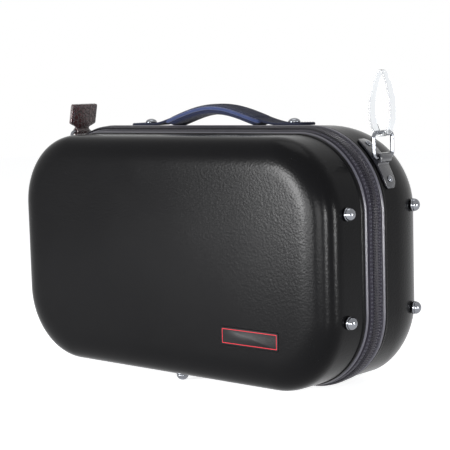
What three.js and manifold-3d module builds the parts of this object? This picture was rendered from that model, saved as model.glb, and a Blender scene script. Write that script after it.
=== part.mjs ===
// A hard clarinet case: two moulded ABS shells joined by a zip and a fabric hinge.
// Units are millimetres, +Z is up and the lid faces -Y. The case stands on its hinge side.
// The origin is the middle of the whole case at the level that its feet stand on.
import * as THREE from "three";
import { mergeVertices } from "three/addons/utils/BufferGeometryUtils.js";
import Module from "manifold-3d";

const wasm = await Module();
wasm.setup();

// Driving sizes.
const clearance = 0.3; // between pieces that touch on the real case
const cutOverrun = 2; // how far a cutting shape runs past what it cuts

const shell = {
  length: 340,
  height: 194, // of the lid
  cornerRadius: 60,
  flare: 5.5, // of the base past the lid, along the top and the ends
  wall: 2.5,
  lidDepth: 45,
  baseDepth: 67,
  lidEdgeInset: 27, // how far the rounded edge reaches in over the front face
  baseEdgeInset: 30,
  lidEdgeDepth: 20, // how far the rounded edge reaches back along the sides
  baseFlatDepth: 17, // of the base's sides behind the rim, before they round off
  hingeEdgeDepth: 16, // the same along the base's hinge side, which stays flat for its feet
  rimBeadProud: 0.8,
  rimBeadWidth: 3,
  rimBeadEase: 0.8,
};
shell.baseEdgeDepth = shell.baseDepth - shell.baseFlatDepth;
const zip = {
  gapWidth: 18, // between the two shells' rims
  endFromCorner: 6, // how far the zip runs on along the hinge side
  tapeThickness: 1.2,
  tapeLap: 4.7, // sewn to the inside of the shell
  tapeProud: 1, // of the tape's underside over the shells' faces
  pipingRadius: 1,
  pipingProud: 0.3,
  pitch: 6.5, // of the teeth on one tape
  toothReach: 1.2, // past the middle of the zip
  toothRoot: 2.8,
  toothHeight: 2.2,
  toothGap: 0.35,
  toothTipShare: 0.86,
  cordWidth: 1, // that the teeth are moulded on, along the tape's edge
  partedReach: -2.2, // of the teeth that the sliders' wedges hold apart
};
const foot = {
  radius: 5.2,
  height: 7,
  collarHeight: 2,
  collarEase: 0.5,
  flatRadius: 1.4,
  shankRadius: 1.9,
  tailRadius: 2.8,
  tailHeight: 0.9,
  washerRadius: 4,
  washerThickness: 0.8,
  washerEase: 0.25, // more room behind the wall, which is curved there
  endSpacing: 80, // upper to lower foot on the end face
  fromFace: 24, // from the front or rear face
  fromEnd: 70, // of the two feet of the hinge side's rear row
};
foot.baseSpacing = shell.length - 2 * foot.fromEnd;
const handle = {
  fromRim: 15, // centre line, behind the rear shell's rim
  fromEnd: 90, // of the rivets, from the case's ends
  gripFromRivet: 28,
  strapWidth: 20,
  strapThickness: 2,
  strapEnd: 16, // past each rivet
  rise: 15, // of the strap's underside over the shell at mid length
  gripWidth: 25,
  gripThickness: 6.4,
  rivetRadius: 5,
  rivetHeight: 3.4,
  plateWidth: 14,
  plateThickness: 1.2,
};
handle.rivetSpacing = shell.length - 2 * handle.fromEnd;
handle.gripLength = handle.rivetSpacing - 2 * handle.gripFromRivet;
const lug = {
  fromRim: 12,
  middleAngle: 36, // degrees up the corner
  halfSpan: 20, // degrees of corner that the base covers on each side
  width: 14,
  thickness: 2.4,
  barrelRadius: 3.4,
  barrelRise: 5.4,
  boreGap: 0.4,
  rivetAngle: 14, // degrees either side of the barrel
  rivetRadius: 2.6,
  rivetHeight: 1.3,
  rivetShank: 1.2,
  endWidthShare: 0.55,
};
const ring = { wireRadius: 1.5, innerWidth: 21, height: 19, cornerRadius: 4 };
const tagLoop = { width: 9, thickness: 1.5, span: 20, height: 47, bulgeShare: 0.22 };
const tab = { neckWidth: 15, width: 30, ply: 1.6, height: 25, shoulder: 8, lean: 12 };
const slider = {
  length: 14,
  width: 9.4,
  plateThickness: 1.6,
  pitch: 25, // between the two sliders' middles
  bailSpan: 8,
  bailHeight: 4.2,
  bailThickness: 1.2,
  bailWidth: 1.8,
  wedgeWidth: 2,
  wedgeLength: 5,
  wedgeFromNose: 1.6,
  tailShare: 0.78, // of the blades' width
};
const pull = {
  length: 20,
  width: 8.5,
  neckWidth: 8,
  thickness: 1.6,
  windowWidth: 4.6,
  windowHeight: 4,
  barHeight: 1.6,
  play: 0.4, // between its bar and the slider's blade, over the clearance
};
const badge = {
  length: 57,
  height: 14,
  thickness: 1.4,
  proud: 0.5, // of the lid's face
  fromEnd: 76, // of its middle, from the lid's right end
  fromBottom: 41,
  cornerRadius: 1.5,
};
const insert = {
  inset: 5.5, // from the shells' outer faces
  edgeRoom: 1.5, // more rounding than the shell's edge
  faceGap: 1.5, // between the lid's and the base's foam faces and the middle of the zip
  lipRadius: 3,
  lidBorder: 16,
  lidRecessDepth: 34,
};
// Pockets in the base foam. x and z are their middles, from the middle of the case.
// A pocket's lower end is as wide as its foot share says.
const lowerJoint = { x: 0, z: 62, length: 256, height: 44, depth: 44, footShare: 1 };
const upperJoint = { x: -39, z: 14, length: 230, height: 42, depth: 40, footShare: 1 };
const mouthpiece = { x: -92, z: -34, length: 96, height: 38, depth: 36, footShare: 1 };
const barrelJoint = { x: 0, z: -34, length: 68, height: 38, depth: 36, footShare: 1 };
const accessories = { x: -12, z: -73, length: 190, height: 24, depth: 44, footShare: 1 };
const bell = { x: 117, z: -20, length: 78, height: 108, depth: 58, footShare: 0.56 };
const pockets = {
  lower_joint: lowerJoint,
  upper_joint: upperJoint,
  mouthpiece,
  barrel: barrelJoint,
  accessories,
  bell,
};
const pocketRadius = 6; // of each pocket's corners
const cornerSteps = 8;
const lidEdgeSteps = 5;
const baseEdgeSteps = 7;
const bailSteps = 7;
const roundSteps = 10;
const washerSteps = 8;
const domeSteps = 3;
const wireSides = 8;

// Places worked out from the driving sizes, before the case is set on its feet.
const halfZip = zip.gapWidth / 2;
const halfLength = shell.length / 2;
const halfHeight = shell.height / 2;
const straightX = halfLength - shell.cornerRadius;
const straightZ = halfHeight - shell.cornerRadius;
const wholeDepth = shell.lidDepth + zip.gapWidth + shell.baseDepth;
const zipY = shell.lidDepth + halfZip - wholeDepth / 2;
const flareSlope = shell.flare / zip.gapWidth;
const zipTilt = Math.atan(flareSlope);
const zipOut = shell.flare / 2; // of the middle of the zip past the lid's outline
const topOut = halfHeight + shell.flare;
const tapeUnder = -shell.wall - clearance - zip.tapeThickness;
const toothLow = zip.tapeProud + zip.tapeThickness / 2 - zip.toothHeight / 2;
const toothTop = toothLow + zip.toothHeight;
const bandTop = Math.max(toothTop, zip.tapeProud + zip.tapeThickness);

// Colours and finishes.
const finish = (color, roughness, metalness = 0, extra = {}) =>
  new THREE.MeshStandardMaterial({ color, roughness, metalness, ...extra });
const absBlack = finish(0x17181a, 0.42);
const chrome = finish(0xd8dadd, 0.08, 1);
const zincSteel = finish(0x9a9ca0, 0.35, 1);
const gunmetal = finish(0x4a4b50, 0.3, 1);
const tapeFabric = finish(0x1d1a26, 0.85);
const coilNylon = finish(0x17151c, 0.5);
const pipingVinyl = finish(0x26242c, 0.4);
const webbing = finish(0x151a2c, 0.9);
const gripVinyl = finish(0x12172a, 0.7);
const plush = finish(0x2a2b33, 1);
const smokePlastic = finish(0x1c1d20, 0.2);
const clearVinyl = finish(0xdfe4ea, 0.1, 0, { transparent: true, opacity: 0.45 });
const leather = finish(0x2a1b1c, 0.5);
const badgePlastic = finish(0x1a1115, 0.35);

// Geometry helpers.
function volumeOf(geometry) {
  const p = geometry.getAttribute("position");
  const order = geometry.index.array;
  const [a, b, c] = [new THREE.Vector3(), new THREE.Vector3(), new THREE.Vector3()];
  let sum = 0;
  for (let i = 0; i < order.length; i += 3) {
    a.fromBufferAttribute(p, order[i]);
    b.fromBufferAttribute(p, order[i + 1]);
    c.fromBufferAttribute(p, order[i + 2]);
    sum += a.dot(b.cross(c));
  }
  return sum;
}

// Rows of points, each row a closed ring, become one closed skin.
// The rows end in flat caps, unless the last row joins the first one.
function skin(rows, joined = false) {
  const count = rows[0].length;
  const points = rows.flat();
  const faces = [];
  const last = joined ? rows.length : rows.length - 1;
  for (let r = 0; r < last; r++) {
    const next = (r + 1) % rows.length;
    for (let i = 0; i < count; i++) {
      const j = (i + 1) % count;
      const [a, b, c, d] = [r * count + i, r * count + j, next * count + j, next * count + i];
      faces.push(a, b, c, a, c, d);
    }
  }
  if (!joined) {
    for (const [start, flip] of [[0, true], [(rows.length - 1) * count, false]]) {
      const ringPoints = points.slice(start, start + count);
      for (const [i, j, k] of capOf(ringPoints)) {
        if (flip) faces.push(start + i, start + k, start + j);
        else faces.push(start + i, start + j, start + k);
      }
    }
  }
  const geometry = new THREE.BufferGeometry().setFromPoints(points);
  geometry.setIndex(faces);
  return facingOut(geometry);
}

function facingOut(geometry) {
  if (volumeOf(geometry) < 0) {
    const order = geometry.index.array;
    for (let i = 0; i < order.length; i += 3) [order[i + 1], order[i + 2]] = [order[i + 2], order[i + 1]];
  }
  return geometry;
}

// Triangles of a flat ring, wound the way the ring runs.
function capOf(ringPoints) {
  const normal = new THREE.Vector3();
  ringPoints.forEach((p, i) => {
    const q = ringPoints[(i + 1) % ringPoints.length];
    normal.add(new THREE.Vector3().crossVectors(p, q));
  });
  normal.normalize();
  const across = ringPoints[1].clone().sub(ringPoints[0]).normalize();
  const up = new THREE.Vector3().crossVectors(normal, across);
  const flat = ringPoints.map((p) => new THREE.Vector2(p.dot(across), p.dot(up)));
  return THREE.ShapeUtils.triangulateShape(flat, []);
}

// Two like faces, one over the other, become one closed slab.
function slab(low, high, faces) {
  const count = low.length;
  const order = faces.flatMap(([a, b, c]) => [a, c, b, count + a, count + b, count + c]);
  for (let i = 0; i < count; i++) {
    const j = (i + 1) % count;
    order.push(i, j, count + j, i, count + j, count + i);
  }
  const geometry = new THREE.BufferGeometry().setFromPoints([...low, ...high]);
  geometry.setIndex(order);
  return facingOut(geometry);
}

function solidFrom(geometry) {
  const bare = geometry.clone();
  bare.deleteAttribute("normal");
  bare.deleteAttribute("uv");
  const merged = mergeVertices(bare);
  const vertProperties = new Float32Array(merged.getAttribute("position").array);
  const triVerts = new Uint32Array(merged.index.array);
  return new wasm.Manifold(new wasm.Mesh({ numProp: 3, vertProperties, triVerts }));
}

function geometryFrom(solid) {
  const mesh = solid.getMesh();
  const geometry = new THREE.BufferGeometry();
  geometry.setAttribute("position", new THREE.BufferAttribute(new Float32Array(mesh.vertProperties), 3));
  geometry.setIndex(new THREE.BufferAttribute(new Uint32Array(mesh.triVerts), 1));
  return geometry;
}

const cutFrom = (geometry, tools) =>
  geometryFrom(tools.reduce((solid, tool) => solid.subtract(solidFrom(tool)), solidFrom(geometry)));
const joinAll = (geometries) =>
  geometryFrom(geometries.map(solidFrom).reduce((sum, one) => sum.add(one)));

// The case's outline, seen from the front, is a rectangle with round corners.
// Each stop has a place, the direction out of the case and the distance run from the first stop.
function outlineStops(steps = cornerSteps) {
  const corners = [
    [straightX, straightZ, 0],
    [-straightX, straightZ, Math.PI / 2],
    [-straightX, -straightZ, Math.PI],
    [straightX, -straightZ, (3 * Math.PI) / 2],
  ];
  return corners.flatMap(([x, z, start]) =>
    Array.from({ length: steps + 1 }, (_, i) => {
      const turn = start + (i / steps) * (Math.PI / 2);
      return stopAt(x, z, turn);
    }),
  );
}

function stopAt(cornerX, cornerZ, turn) {
  const out = new THREE.Vector3(Math.cos(turn), 0, Math.sin(turn));
  const place = new THREE.Vector3(cornerX, 0, cornerZ).addScaledVector(out, shell.cornerRadius);
  return { place, out };
}

// The share of the flare that a stop has: all of it round the top and the ends, and none along the hinge.
const flareEnd = 0.6; // how far up from the hinge side the share grows, as a share of the corner
const flareShare = (stop) => Math.sqrt(THREE.MathUtils.clamp((1 + stop.out.z) / flareEnd, 0, 1));

// A point that lies u outside the case's outline and v behind the middle of the zip.
// The outline grows from the lid's to the base's across the zip.
function onOutline(stop, v, u) {
  const across = THREE.MathUtils.clamp(v + halfZip, 0, zip.gapWidth);
  const grown = flareSlope * across * flareShare(stop);
  return stop.place.clone().addScaledVector(stop.out, grown + u).setY(zipY + v);
}

const ringAt = (stops, v, u) => stops.map((stop) => onOutline(stop, v, u));

// A section of [v, u] points carried along a row of stops.
const alongOutline = (stops, section, joined = false) =>
  skin(stops.map((stop) => section.map(([v, u]) => onOutline(stop, v, u))), joined);

// The stops of the zip, from the hinge side's right end up and over to its left end.
const zipStart = straightX - zip.endFromCorner;
function zipStops() {
  const all = outlineStops();
  const perCorner = cornerSteps + 1;
  const right = all.slice(3 * perCorner);
  const rest = all.slice(0, 3 * perCorner);
  const down = new THREE.Vector3(0, 0, -1);
  const endStop = (x) => ({ place: new THREE.Vector3(x, 0, -halfHeight), out: down.clone() });
  return [endStop(zipStart), ...right, ...rest, endStop(-zipStart)];
}

// The stop at a distance along the zip.
function stopAlong(stops, distance) {
  let left = distance;
  for (let i = 0; i + 1 < stops.length; i++) {
    const [a, b] = [stops[i], stops[i + 1]];
    const span = a.place.distanceTo(b.place);
    if (left <= span) {
      const share = left / span;
      const out = a.out.clone().lerp(b.out, share).normalize();
      return { place: a.place.clone().lerp(b.place, share), out };
    }
    left -= span;
  }
  return stops[stops.length - 1];
}
const lengthOf = (stops) =>
  stops.slice(1).reduce((sum, stop, i) => sum + stop.place.distanceTo(stops[i].place), 0);

// A rod from one point along an axis, for pins, holes and pads.
function rod(radius, from, axis, length, steps = roundSteps) {
  const geometry = new THREE.CylinderGeometry(radius, radius, length, steps);
  geometry.applyQuaternion(new THREE.Quaternion().setFromUnitVectors(new THREE.Vector3(0, 1, 0), axis));
  const middle = from.clone().addScaledVector(axis, length / 2);
  return geometry.translate(middle.x, middle.y, middle.z);
}

// A turned piece whose profile is [radius, height] points, with its height along an axis.
function turned(profile, from, axis, steps = roundSteps) {
  const geometry = new THREE.LatheGeometry(profile.map(([r, h]) => new THREE.Vector2(r, h)), steps);
  geometry.applyQuaternion(new THREE.Quaternion().setFromUnitVectors(new THREE.Vector3(0, 1, 0), axis));
  geometry.translate(from.x, from.y, from.z);
  return geometry;
}

// A flat strip bent along a path in the plane of X and Z.
function strip(path, yMiddle, width, thickness, joined = false) {
  const rows = path.map((p, i) => {
    const before = path[joined ? (i + path.length - 1) % path.length : Math.max(i - 1, 0)];
    const after = path[joined ? (i + 1) % path.length : Math.min(i + 1, path.length - 1)];
    const along = new THREE.Vector2().subVectors(after, before).normalize();
    const over = new THREE.Vector2(-along.y, along.x);
    return [[-1, 0], [1, 0], [1, 1], [-1, 1]].map(
      ([side, level]) =>
        new THREE.Vector3(
          p.x + over.x * thickness * level,
          yMiddle + (side * width) / 2,
          p.y + over.y * thickness * level,
        ),
    );
  });
  return skin(rows, joined);
}

// The case as a scene graph.
const clarinetCase = new THREE.Group();
const body = new THREE.Group();
clarinetCase.add(body);
function piece(name, geometry, material) {
  const mesh = new THREE.Mesh(geometry, material);
  mesh.name = name;
  body.add(mesh);
  return mesh;
}

// Shells: a rounded box open at the zip, with a bead along the rim.
// side is -1 for the lid and 1 for the base.
const half = (side) =>
  side < 0
    ? { depth: shell.lidDepth, inset: shell.lidEdgeInset, steps: lidEdgeSteps }
    : { depth: shell.baseDepth, inset: shell.baseEdgeInset, steps: baseEdgeSteps };
function edgeDepth(side, stop) {
  if (side < 0) return shell.lidEdgeDepth;
  return THREE.MathUtils.lerp(shell.hingeEdgeDepth, shell.baseEdgeDepth, flareShare(stop));
}
// A ring round the edge. Its turn runs from the side of the shell to its face, and it lies
// sideIn within the side and faceIn within the face. More rounds it off more.
function edgeRing(stops, side, turn, sideIn, faceIn = sideIn, more = 0) {
  const { depth, inset } = half(side);
  return stops.map((stop) => {
    const reach = (inset - sideIn + more) * (1 - Math.cos(turn));
    const back = (edgeDepth(side, stop) - faceIn) * (1 - Math.sin(turn));
    return onOutline(stop, side * (halfZip + depth - faceIn - back), -sideIn - reach);
  });
}
function shellGeometry(side) {
  const stops = outlineStops();
  const rim = side * halfZip;
  const beadEnd = rim + side * shell.rimBeadWidth;
  const { steps } = half(side);
  const turns = Array.from({ length: steps + 1 }, (_, i) => (i / steps) * (Math.PI / 2));
  const outer = [
    ringAt(stops, rim, shell.rimBeadProud - shell.rimBeadEase / 2),
    ringAt(stops, rim + (side * shell.rimBeadEase) / 2, shell.rimBeadProud),
    ringAt(stops, beadEnd - side * shell.rimBeadEase, shell.rimBeadProud),
    ringAt(stops, beadEnd, 0),
    ...turns.map((turn) => edgeRing(stops, side, turn, 0)),
  ];
  const inside = turns.map((turn) => edgeRing(stops, side, turn, shell.wall));
  return skin([...inside.reverse(), ringAt(stops, rim, -shell.wall), ...outer]);
}

// Where feet, rivets and lugs sit: a place on the shell's face and the way out of it.
const xOut = new THREE.Vector3(1, 0, 0);
const yOut = new THREE.Vector3(0, 1, 0);
const zOut = new THREE.Vector3(0, 0, 1);
const zDown = new THREE.Vector3(0, 0, -1);
const footLidY = -wholeDepth / 2 + foot.fromFace;
const footBaseY = wholeDepth / 2 - foot.fromFace;
const seat = (x, y, z, out) => ({ place: new THREE.Vector3(x, y, z), out });
// A seat on the right end at a height above or below its middle, square to the curved shell.
function endSeat(side, y, height) {
  const turn = Math.asin(Math.max(Math.abs(height) - straightZ, 0) / shell.cornerRadius);
  const cornerZ = Math.min(Math.abs(height), straightZ);
  const stop = stopAt(straightX, Math.sign(height) * cornerZ, Math.sign(height) * turn);
  const { depth, inset } = half(side);
  const edge = edgeDepth(side, stop);
  const into = Math.max(side * (y - zipY) - halfZip - depth + edge, 0) / edge;
  const fall = Math.sqrt(1 - into * into);
  const place = onOutline(stop, y - zipY, -inset * (1 - fall));
  const lean = Math.atan((inset * into) / (edge * fall));
  const out = stop.out.clone().multiplyScalar(Math.cos(lean)).setY(side * Math.sin(lean));
  return { place, out };
}
const footSeats = {
  lid_bottom_foot: seat(0, footLidY, -halfHeight, zDown),
  lid_end_foot_upper: endSeat(-1, footLidY, foot.endSpacing / 2),
  lid_end_foot_lower: endSeat(-1, footLidY, -foot.endSpacing / 2),
  base_bottom_foot_left: seat(-foot.baseSpacing / 2, footBaseY, -halfHeight, zDown),
  base_bottom_foot_right: seat(foot.baseSpacing / 2, footBaseY, -halfHeight, zDown),
  base_end_foot_upper: endSeat(1, footBaseY, foot.endSpacing / 2),
  base_end_foot_lower: endSeat(1, footBaseY, -foot.endSpacing / 2),
};
const handleY = zipY + halfZip + handle.fromRim;
const handleSeats = [-1, 1].map((end) => seat((end * handle.rivetSpacing) / 2, handleY, topOut, zOut));

// A lug's place on the upper corner: end is -1 on the left and 1 on the right.
const lugY = zipY + halfZip + lug.fromRim;
function lugStop(end, degrees) {
  const turn = THREE.MathUtils.degToRad(end > 0 ? degrees : 180 - degrees);
  return stopAt(end * straightX, straightZ, turn);
}
const lugSeat = (end, degrees) => {
  const stop = lugStop(end, degrees);
  return { place: onOutline(stop, lugY - zipY, 0), out: stop.out };
};
const lugRivetSeats = (end) =>
  [-1, 1].map((side) => lugSeat(end, lug.middleAngle + side * lug.rivetAngle));

const holeThrough = ({ place, out }, radius) => {
  const start = place.clone().addScaledVector(out, -shell.wall - cutOverrun);
  return rod(radius, start, out, shell.wall + 2 * cutOverrun, 8);
};
function seatsOf(prefix) {
  const names = Object.keys(footSeats).filter((name) => name.startsWith(prefix));
  return names.map((name) => footSeats[name]);
}
const footHole = foot.shankRadius + clearance;
const lugHole = lug.rivetShank + clearance;

// The badge lies in a shallow pocket of the lid's face.
const lidFaceY = -wholeDepth / 2;
const badgeX = halfLength - badge.fromEnd;
const badgeZ = badge.fromBottom - halfHeight;
function plateShape(width, height, radius) {
  const [x, z] = [width / 2, height / 2];
  const outline = new THREE.Shape();
  outline.moveTo(-x + radius, -z);
  outline.lineTo(x - radius, -z);
  outline.absarc(x - radius, -z + radius, radius, -Math.PI / 2, 0);
  outline.absarc(x - radius, z - radius, radius, 0, Math.PI / 2);
  outline.absarc(-x + radius, z - radius, radius, Math.PI / 2, Math.PI);
  outline.absarc(-x + radius, -z + radius, radius, Math.PI, (3 * Math.PI) / 2);
  return outline;
}
function badgeGeometry(grow, thickness, backY) {
  const outline = plateShape(badge.length + 2 * grow, badge.height + 2 * grow, badge.cornerRadius + grow);
  const geometry = new THREE.ExtrudeGeometry(outline, { depth: thickness, bevelEnabled: false, curveSegments: 3 });
  geometry.rotateX(Math.PI / 2);
  return geometry.translate(badgeX, backY, badgeZ);
}
const badgeBack = lidFaceY - badge.proud + badge.thickness;
const badgePocket = badgeGeometry(clearance, badge.thickness + clearance + cutOverrun, badgeBack + clearance);

piece(
  "lid_shell",
  cutFrom(shellGeometry(-1), [
    ...seatsOf("lid").map((one) => holeThrough(one, footHole)),
    badgePocket,
  ]),
  absBlack,
);
piece(
  "base_shell",
  cutFrom(shellGeometry(1), [
    ...[...seatsOf("base"), ...handleSeats].map((one) => holeThrough(one, footHole)),
    ...[-1, 1].flatMap(lugRivetSeats).map((one) => holeThrough(one, lugHole)),
  ]),
  absBlack,
);
piece("badge_plate", badgeGeometry(0, badge.thickness, badgeBack), badgePlastic);

// Feet: domed rivets, each peened over a washer inside the shell.
const washerFace = -shell.wall - clearance - foot.washerEase;
const tailFace = washerFace - foot.washerThickness - clearance;
function footProfile() {
  const domeBase = clearance + foot.collarHeight;
  const domeHeight = foot.height - domeBase;
  const flatTurn = Math.acos(foot.flatRadius / foot.radius);
  const dome = Array.from({ length: domeSteps }, (_, i) => {
    const turn = ((i + 1) / domeSteps) * flatTurn;
    return [foot.radius * Math.cos(turn), domeBase + (domeHeight * Math.sin(turn)) / Math.sin(flatTurn)];
  });
  return [
    [0, tailFace - foot.tailHeight],
    [foot.tailRadius, tailFace - foot.tailHeight],
    [foot.tailRadius, tailFace],
    [foot.shankRadius, tailFace],
    [foot.shankRadius, clearance],
    [foot.radius - foot.collarEase, clearance],
    [foot.radius, domeBase],
    ...dome,
    [0, foot.height],
  ];
}
function washerProfile(inner, outerRadius, thickness, face) {
  return [
    [inner, face - thickness],
    [outerRadius, face - thickness],
    [outerRadius, face],
    [inner, face],
    [inner, face - thickness],
  ];
}
const footWasher = ({ place, out }) =>
  turned(washerProfile(footHole, foot.washerRadius, foot.washerThickness, washerFace), place, out, washerSteps);
for (const [name, { place, out }] of Object.entries(footSeats)) {
  piece(name, turned(footProfile(), place, out), chrome);
  piece(`${name}_washer`, footWasher({ place, out }), zincSteel);
}

// Piping: a round welt along each rim.
function pipingSection(side) {
  const middleV = side * (halfZip - clearance - zip.pipingRadius);
  const middleU = zip.pipingProud;
  return Array.from({ length: 6 }, (_, i) => {
    const turn = ((i + 0.5) / 6) * 2 * Math.PI;
    return [middleV + zip.pipingRadius * Math.cos(turn), middleU + zip.pipingRadius * Math.sin(turn)];
  });
}
piece("lid_piping", alongOutline(outlineStops(), pipingSection(-1), true), pipingVinyl);
piece("base_piping", alongOutline(outlineStops(), pipingSection(1), true), pipingVinyl);

// Zip tape: lapped inside the shell, stepping up beside the piping to lie level with the teeth.
const tapeEdge = zip.toothRoot + zip.cordWidth + clearance;
function tapeSection(side, edgeV) {
  const pipingEnd = halfZip - 2 * clearance - 2 * zip.pipingRadius;
  const lapEnd = halfZip + zip.tapeLap;
  const t = zip.tapeThickness;
  const points = [
    [lapEnd, tapeUnder],
    [halfZip, tapeUnder],
    [pipingEnd - t, tapeUnder],
    [pipingEnd - t, zip.tapeProud],
    [edgeV, zip.tapeProud],
    [edgeV, zip.tapeProud + t],
    [pipingEnd, zip.tapeProud + t],
    [pipingEnd, tapeUnder + t],
    [halfZip, tapeUnder + t],
    [lapEnd, tapeUnder + t],
  ];
  return points.map(([v, u]) => [side * v, u]);
}
piece("lid_zip_tape", alongOutline(zipStops(), tapeSection(-1, tapeEdge)), tapeFabric);
piece("base_zip_tape", alongOutline(zipStops(), tapeSection(1, tapeEdge)), tapeFabric);

// Hinge fabric: the same section along the hinge side, with its two leaves meeting at the fold.
const hingeHalf = zipStart - clearance;
const hingeStops = [hingeHalf, -hingeHalf].map((x) => ({
  place: new THREE.Vector3(x, 0, -halfHeight),
  out: zDown.clone(),
}));
piece("lid_hinge_fabric", alongOutline(hingeStops, tapeSection(-1, clearance / 2)), tapeFabric);
piece("base_hinge_fabric", alongOutline(hingeStops, tapeSection(1, clearance / 2)), tapeFabric);

// Zip teeth: a row of tapered teeth on a cord, each reaching between two of the other row.
// The row is drawn flat, as distance along the zip and distance from its middle, then bent round.
const sliderZone = (slider.pitch + slider.length) / 2 - slider.wedgeFromNose;
function toothRow(side) {
  const stops = zipStops();
  const whole = lengthOf(stops);
  const count = Math.floor(whole / zip.pitch) - 1;
  const first = (whole - (count - 1 / 2) * zip.pitch) / 2;
  const shift = side > 0 ? zip.pitch / 2 : 0;
  const half = zip.pitch / 4 - zip.toothGap / 2;
  const tip = half * zip.toothTipShare;
  const flat = [];
  for (let i = 0; i < count; i++) {
    const at = first + shift + i * zip.pitch;
    const { place } = stopAlong(stops, at);
    const parted = place.x < -straightX && Math.abs(place.z) < sliderZone;
    const reach = parted ? zip.partedReach : zip.toothReach;
    flat.push([at - half, zip.toothRoot], [at - tip, -reach], [at + tip, -reach], [at + half, zip.toothRoot]);
  }
  const corners = flat.length;
  const [start, end] = [flat[0][0], flat[corners - 1][0]];
  const back = zip.toothRoot + zip.cordWidth;
  let run = 0;
  const behind = stops.map((stop, i) => {
    run += i ? stop.place.distanceTo(stops[i - 1].place) : 0;
    return [Math.min(Math.max(run, start), end), back];
  });
  flat.push(...behind.reverse());
  const faces = [];
  for (let i = 0; i < corners; i += 4) faces.push([i, i + 1, i + 2], [i, i + 2, i + 3]);
  // The cord is filled in from its start, always from the side whose next point is nearer.
  const roots = Array.from({ length: corners / 2 }, (_, i) => 2 * i + (i % 2));
  const ends = Array.from({ length: flat.length - corners }, (_, i) => flat.length - 1 - i);
  let [i, j] = [0, 0];
  while (i + 1 < roots.length || j + 1 < ends.length) {
    const nextRoot = i + 1 < roots.length ? flat[roots[i + 1]][0] : Infinity;
    const nextEnd = j + 1 < ends.length ? flat[ends[j + 1]][0] : Infinity;
    if (nextRoot <= nextEnd) faces.push([roots[i], roots[++i], ends[j]]);
    else faces.push([roots[i], ends[j + 1], ends[j++]]);
  }
  const level = (u) => flat.map(([at, v]) => onOutline(stopAlong(stops, at), side * v, u));
  return slab(level(toothLow), level(toothTop), faces);
}
piece("lid_zip_teeth", toothRow(-1), coilNylon);
piece("base_zip_teeth", toothRow(1), coilNylon);

// Handle: a webbing strap riveted at both ends, with a padded grip round its middle.
const strapLevel = topOut + clearance;
const handleHalf = handle.rivetSpacing / 2;
function handlePath(steps = 16) {
  const archHalf = handleHalf - handle.strapWidth / 2;
  const flat = new THREE.Vector2(-handleHalf - handle.strapEnd, strapLevel);
  const arch = Array.from({ length: steps + 1 }, (_, i) => {
    const share = -1 + (2 * i) / steps;
    const lift = (1 + Math.cos(Math.PI * share)) / 2;
    return new THREE.Vector2(archHalf * share, strapLevel + handle.rise * Math.pow(lift, 0.8));
  });
  return [flat, ...arch, new THREE.Vector2(-flat.x, strapLevel)];
}
const strapHoles = handleSeats.map(({ place, out }) =>
  rod(footHole, place, out, handle.strapThickness + cutOverrun, 8),
);
const strapGeometry = strip(handlePath(), handleY, handle.strapWidth, handle.strapThickness);
piece("handle_strap", cutFrom(strapGeometry, strapHoles), webbing);

// Grip: a sleeve of soft vinyl with a slot for the strap.
function gripGeometry() {
  const gripHalf = handle.gripLength / 2;
  const path = handlePath(16).filter((p) => Math.abs(p.x) <= gripHalf);
  const pad = (handle.gripThickness - handle.strapThickness) / 2;
  const section = (p, along, halfWidth, low, high, round) => {
    const over = new THREE.Vector2(-along.y, along.x);
    const corners = [
      [-halfWidth + round, low],
      [halfWidth - round, low],
      [halfWidth, low + round],
      [halfWidth, high - round],
      [halfWidth - round, high],
      [-halfWidth + round, high],
      [-halfWidth, high - round],
      [-halfWidth, low + round],
    ];
    return corners.map(([w, h]) => new THREE.Vector3(p.x + over.x * h, handleY + w, p.y + over.y * h));
  };
  const rowsFor = (points, halfWidth, low, high, round) =>
    points.map((p, i) => {
      const before = points[Math.max(i - 1, 0)];
      const after = points[Math.min(i + 1, points.length - 1)];
      return section(p, new THREE.Vector2().subVectors(after, before).normalize(), halfWidth, low, high, round);
    });
  const outer = rowsFor(path, handle.gripWidth / 2, -pad, handle.strapThickness + pad, pad * 0.9);
  const slot = clearance;
  const inner = rowsFor(path, handle.strapWidth / 2 + slot, -slot, handle.strapThickness + slot, slot / 2);
  return skin([...outer, ...inner.reverse()], true);
}
piece("handle_grip", gripGeometry(), gripVinyl);

// Handle rivets pass through the strap, the shell and a steel plate inside.
function rivetProfile(radius, height, shank, level, tailLevel, tailRadius, tailHeight) {
  const dome = Array.from({ length: domeSteps - 1 }, (_, i) => {
    const turn = ((i + 1) / domeSteps) * (Math.PI / 2);
    return [radius * Math.cos(turn), level + height * Math.sin(turn)];
  });
  return [
    [0, tailLevel - tailHeight],
    [tailRadius, tailLevel - tailHeight],
    [tailRadius, tailLevel],
    [shank, tailLevel],
    [shank, level],
    [radius, level],
    ...dome,
    [0, level + height],
  ];
}
const handleRivet = rivetProfile(
  handle.rivetRadius,
  handle.rivetHeight,
  foot.shankRadius,
  2 * clearance + handle.strapThickness,
  washerFace - handle.plateThickness - clearance,
  foot.tailRadius,
  foot.tailHeight,
);
["handle_rivet_left", "handle_rivet_right"].forEach((name, i) => {
  piece(name, turned(handleRivet, handleSeats[i].place, handleSeats[i].out), chrome);
});
const plateLength = handle.rivetSpacing + 2 * handle.strapEnd;
const plateGeometry = new THREE.BoxGeometry(plateLength, handle.plateWidth, handle.plateThickness);
plateGeometry.translate(0, handleY, topOut + washerFace - handle.plateThickness / 2);
const plateHoles = handleSeats.map((one) => holeThrough(one, footHole));
piece("handle_backing_plate", cutFrom(plateGeometry, plateHoles), zincSteel);

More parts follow.
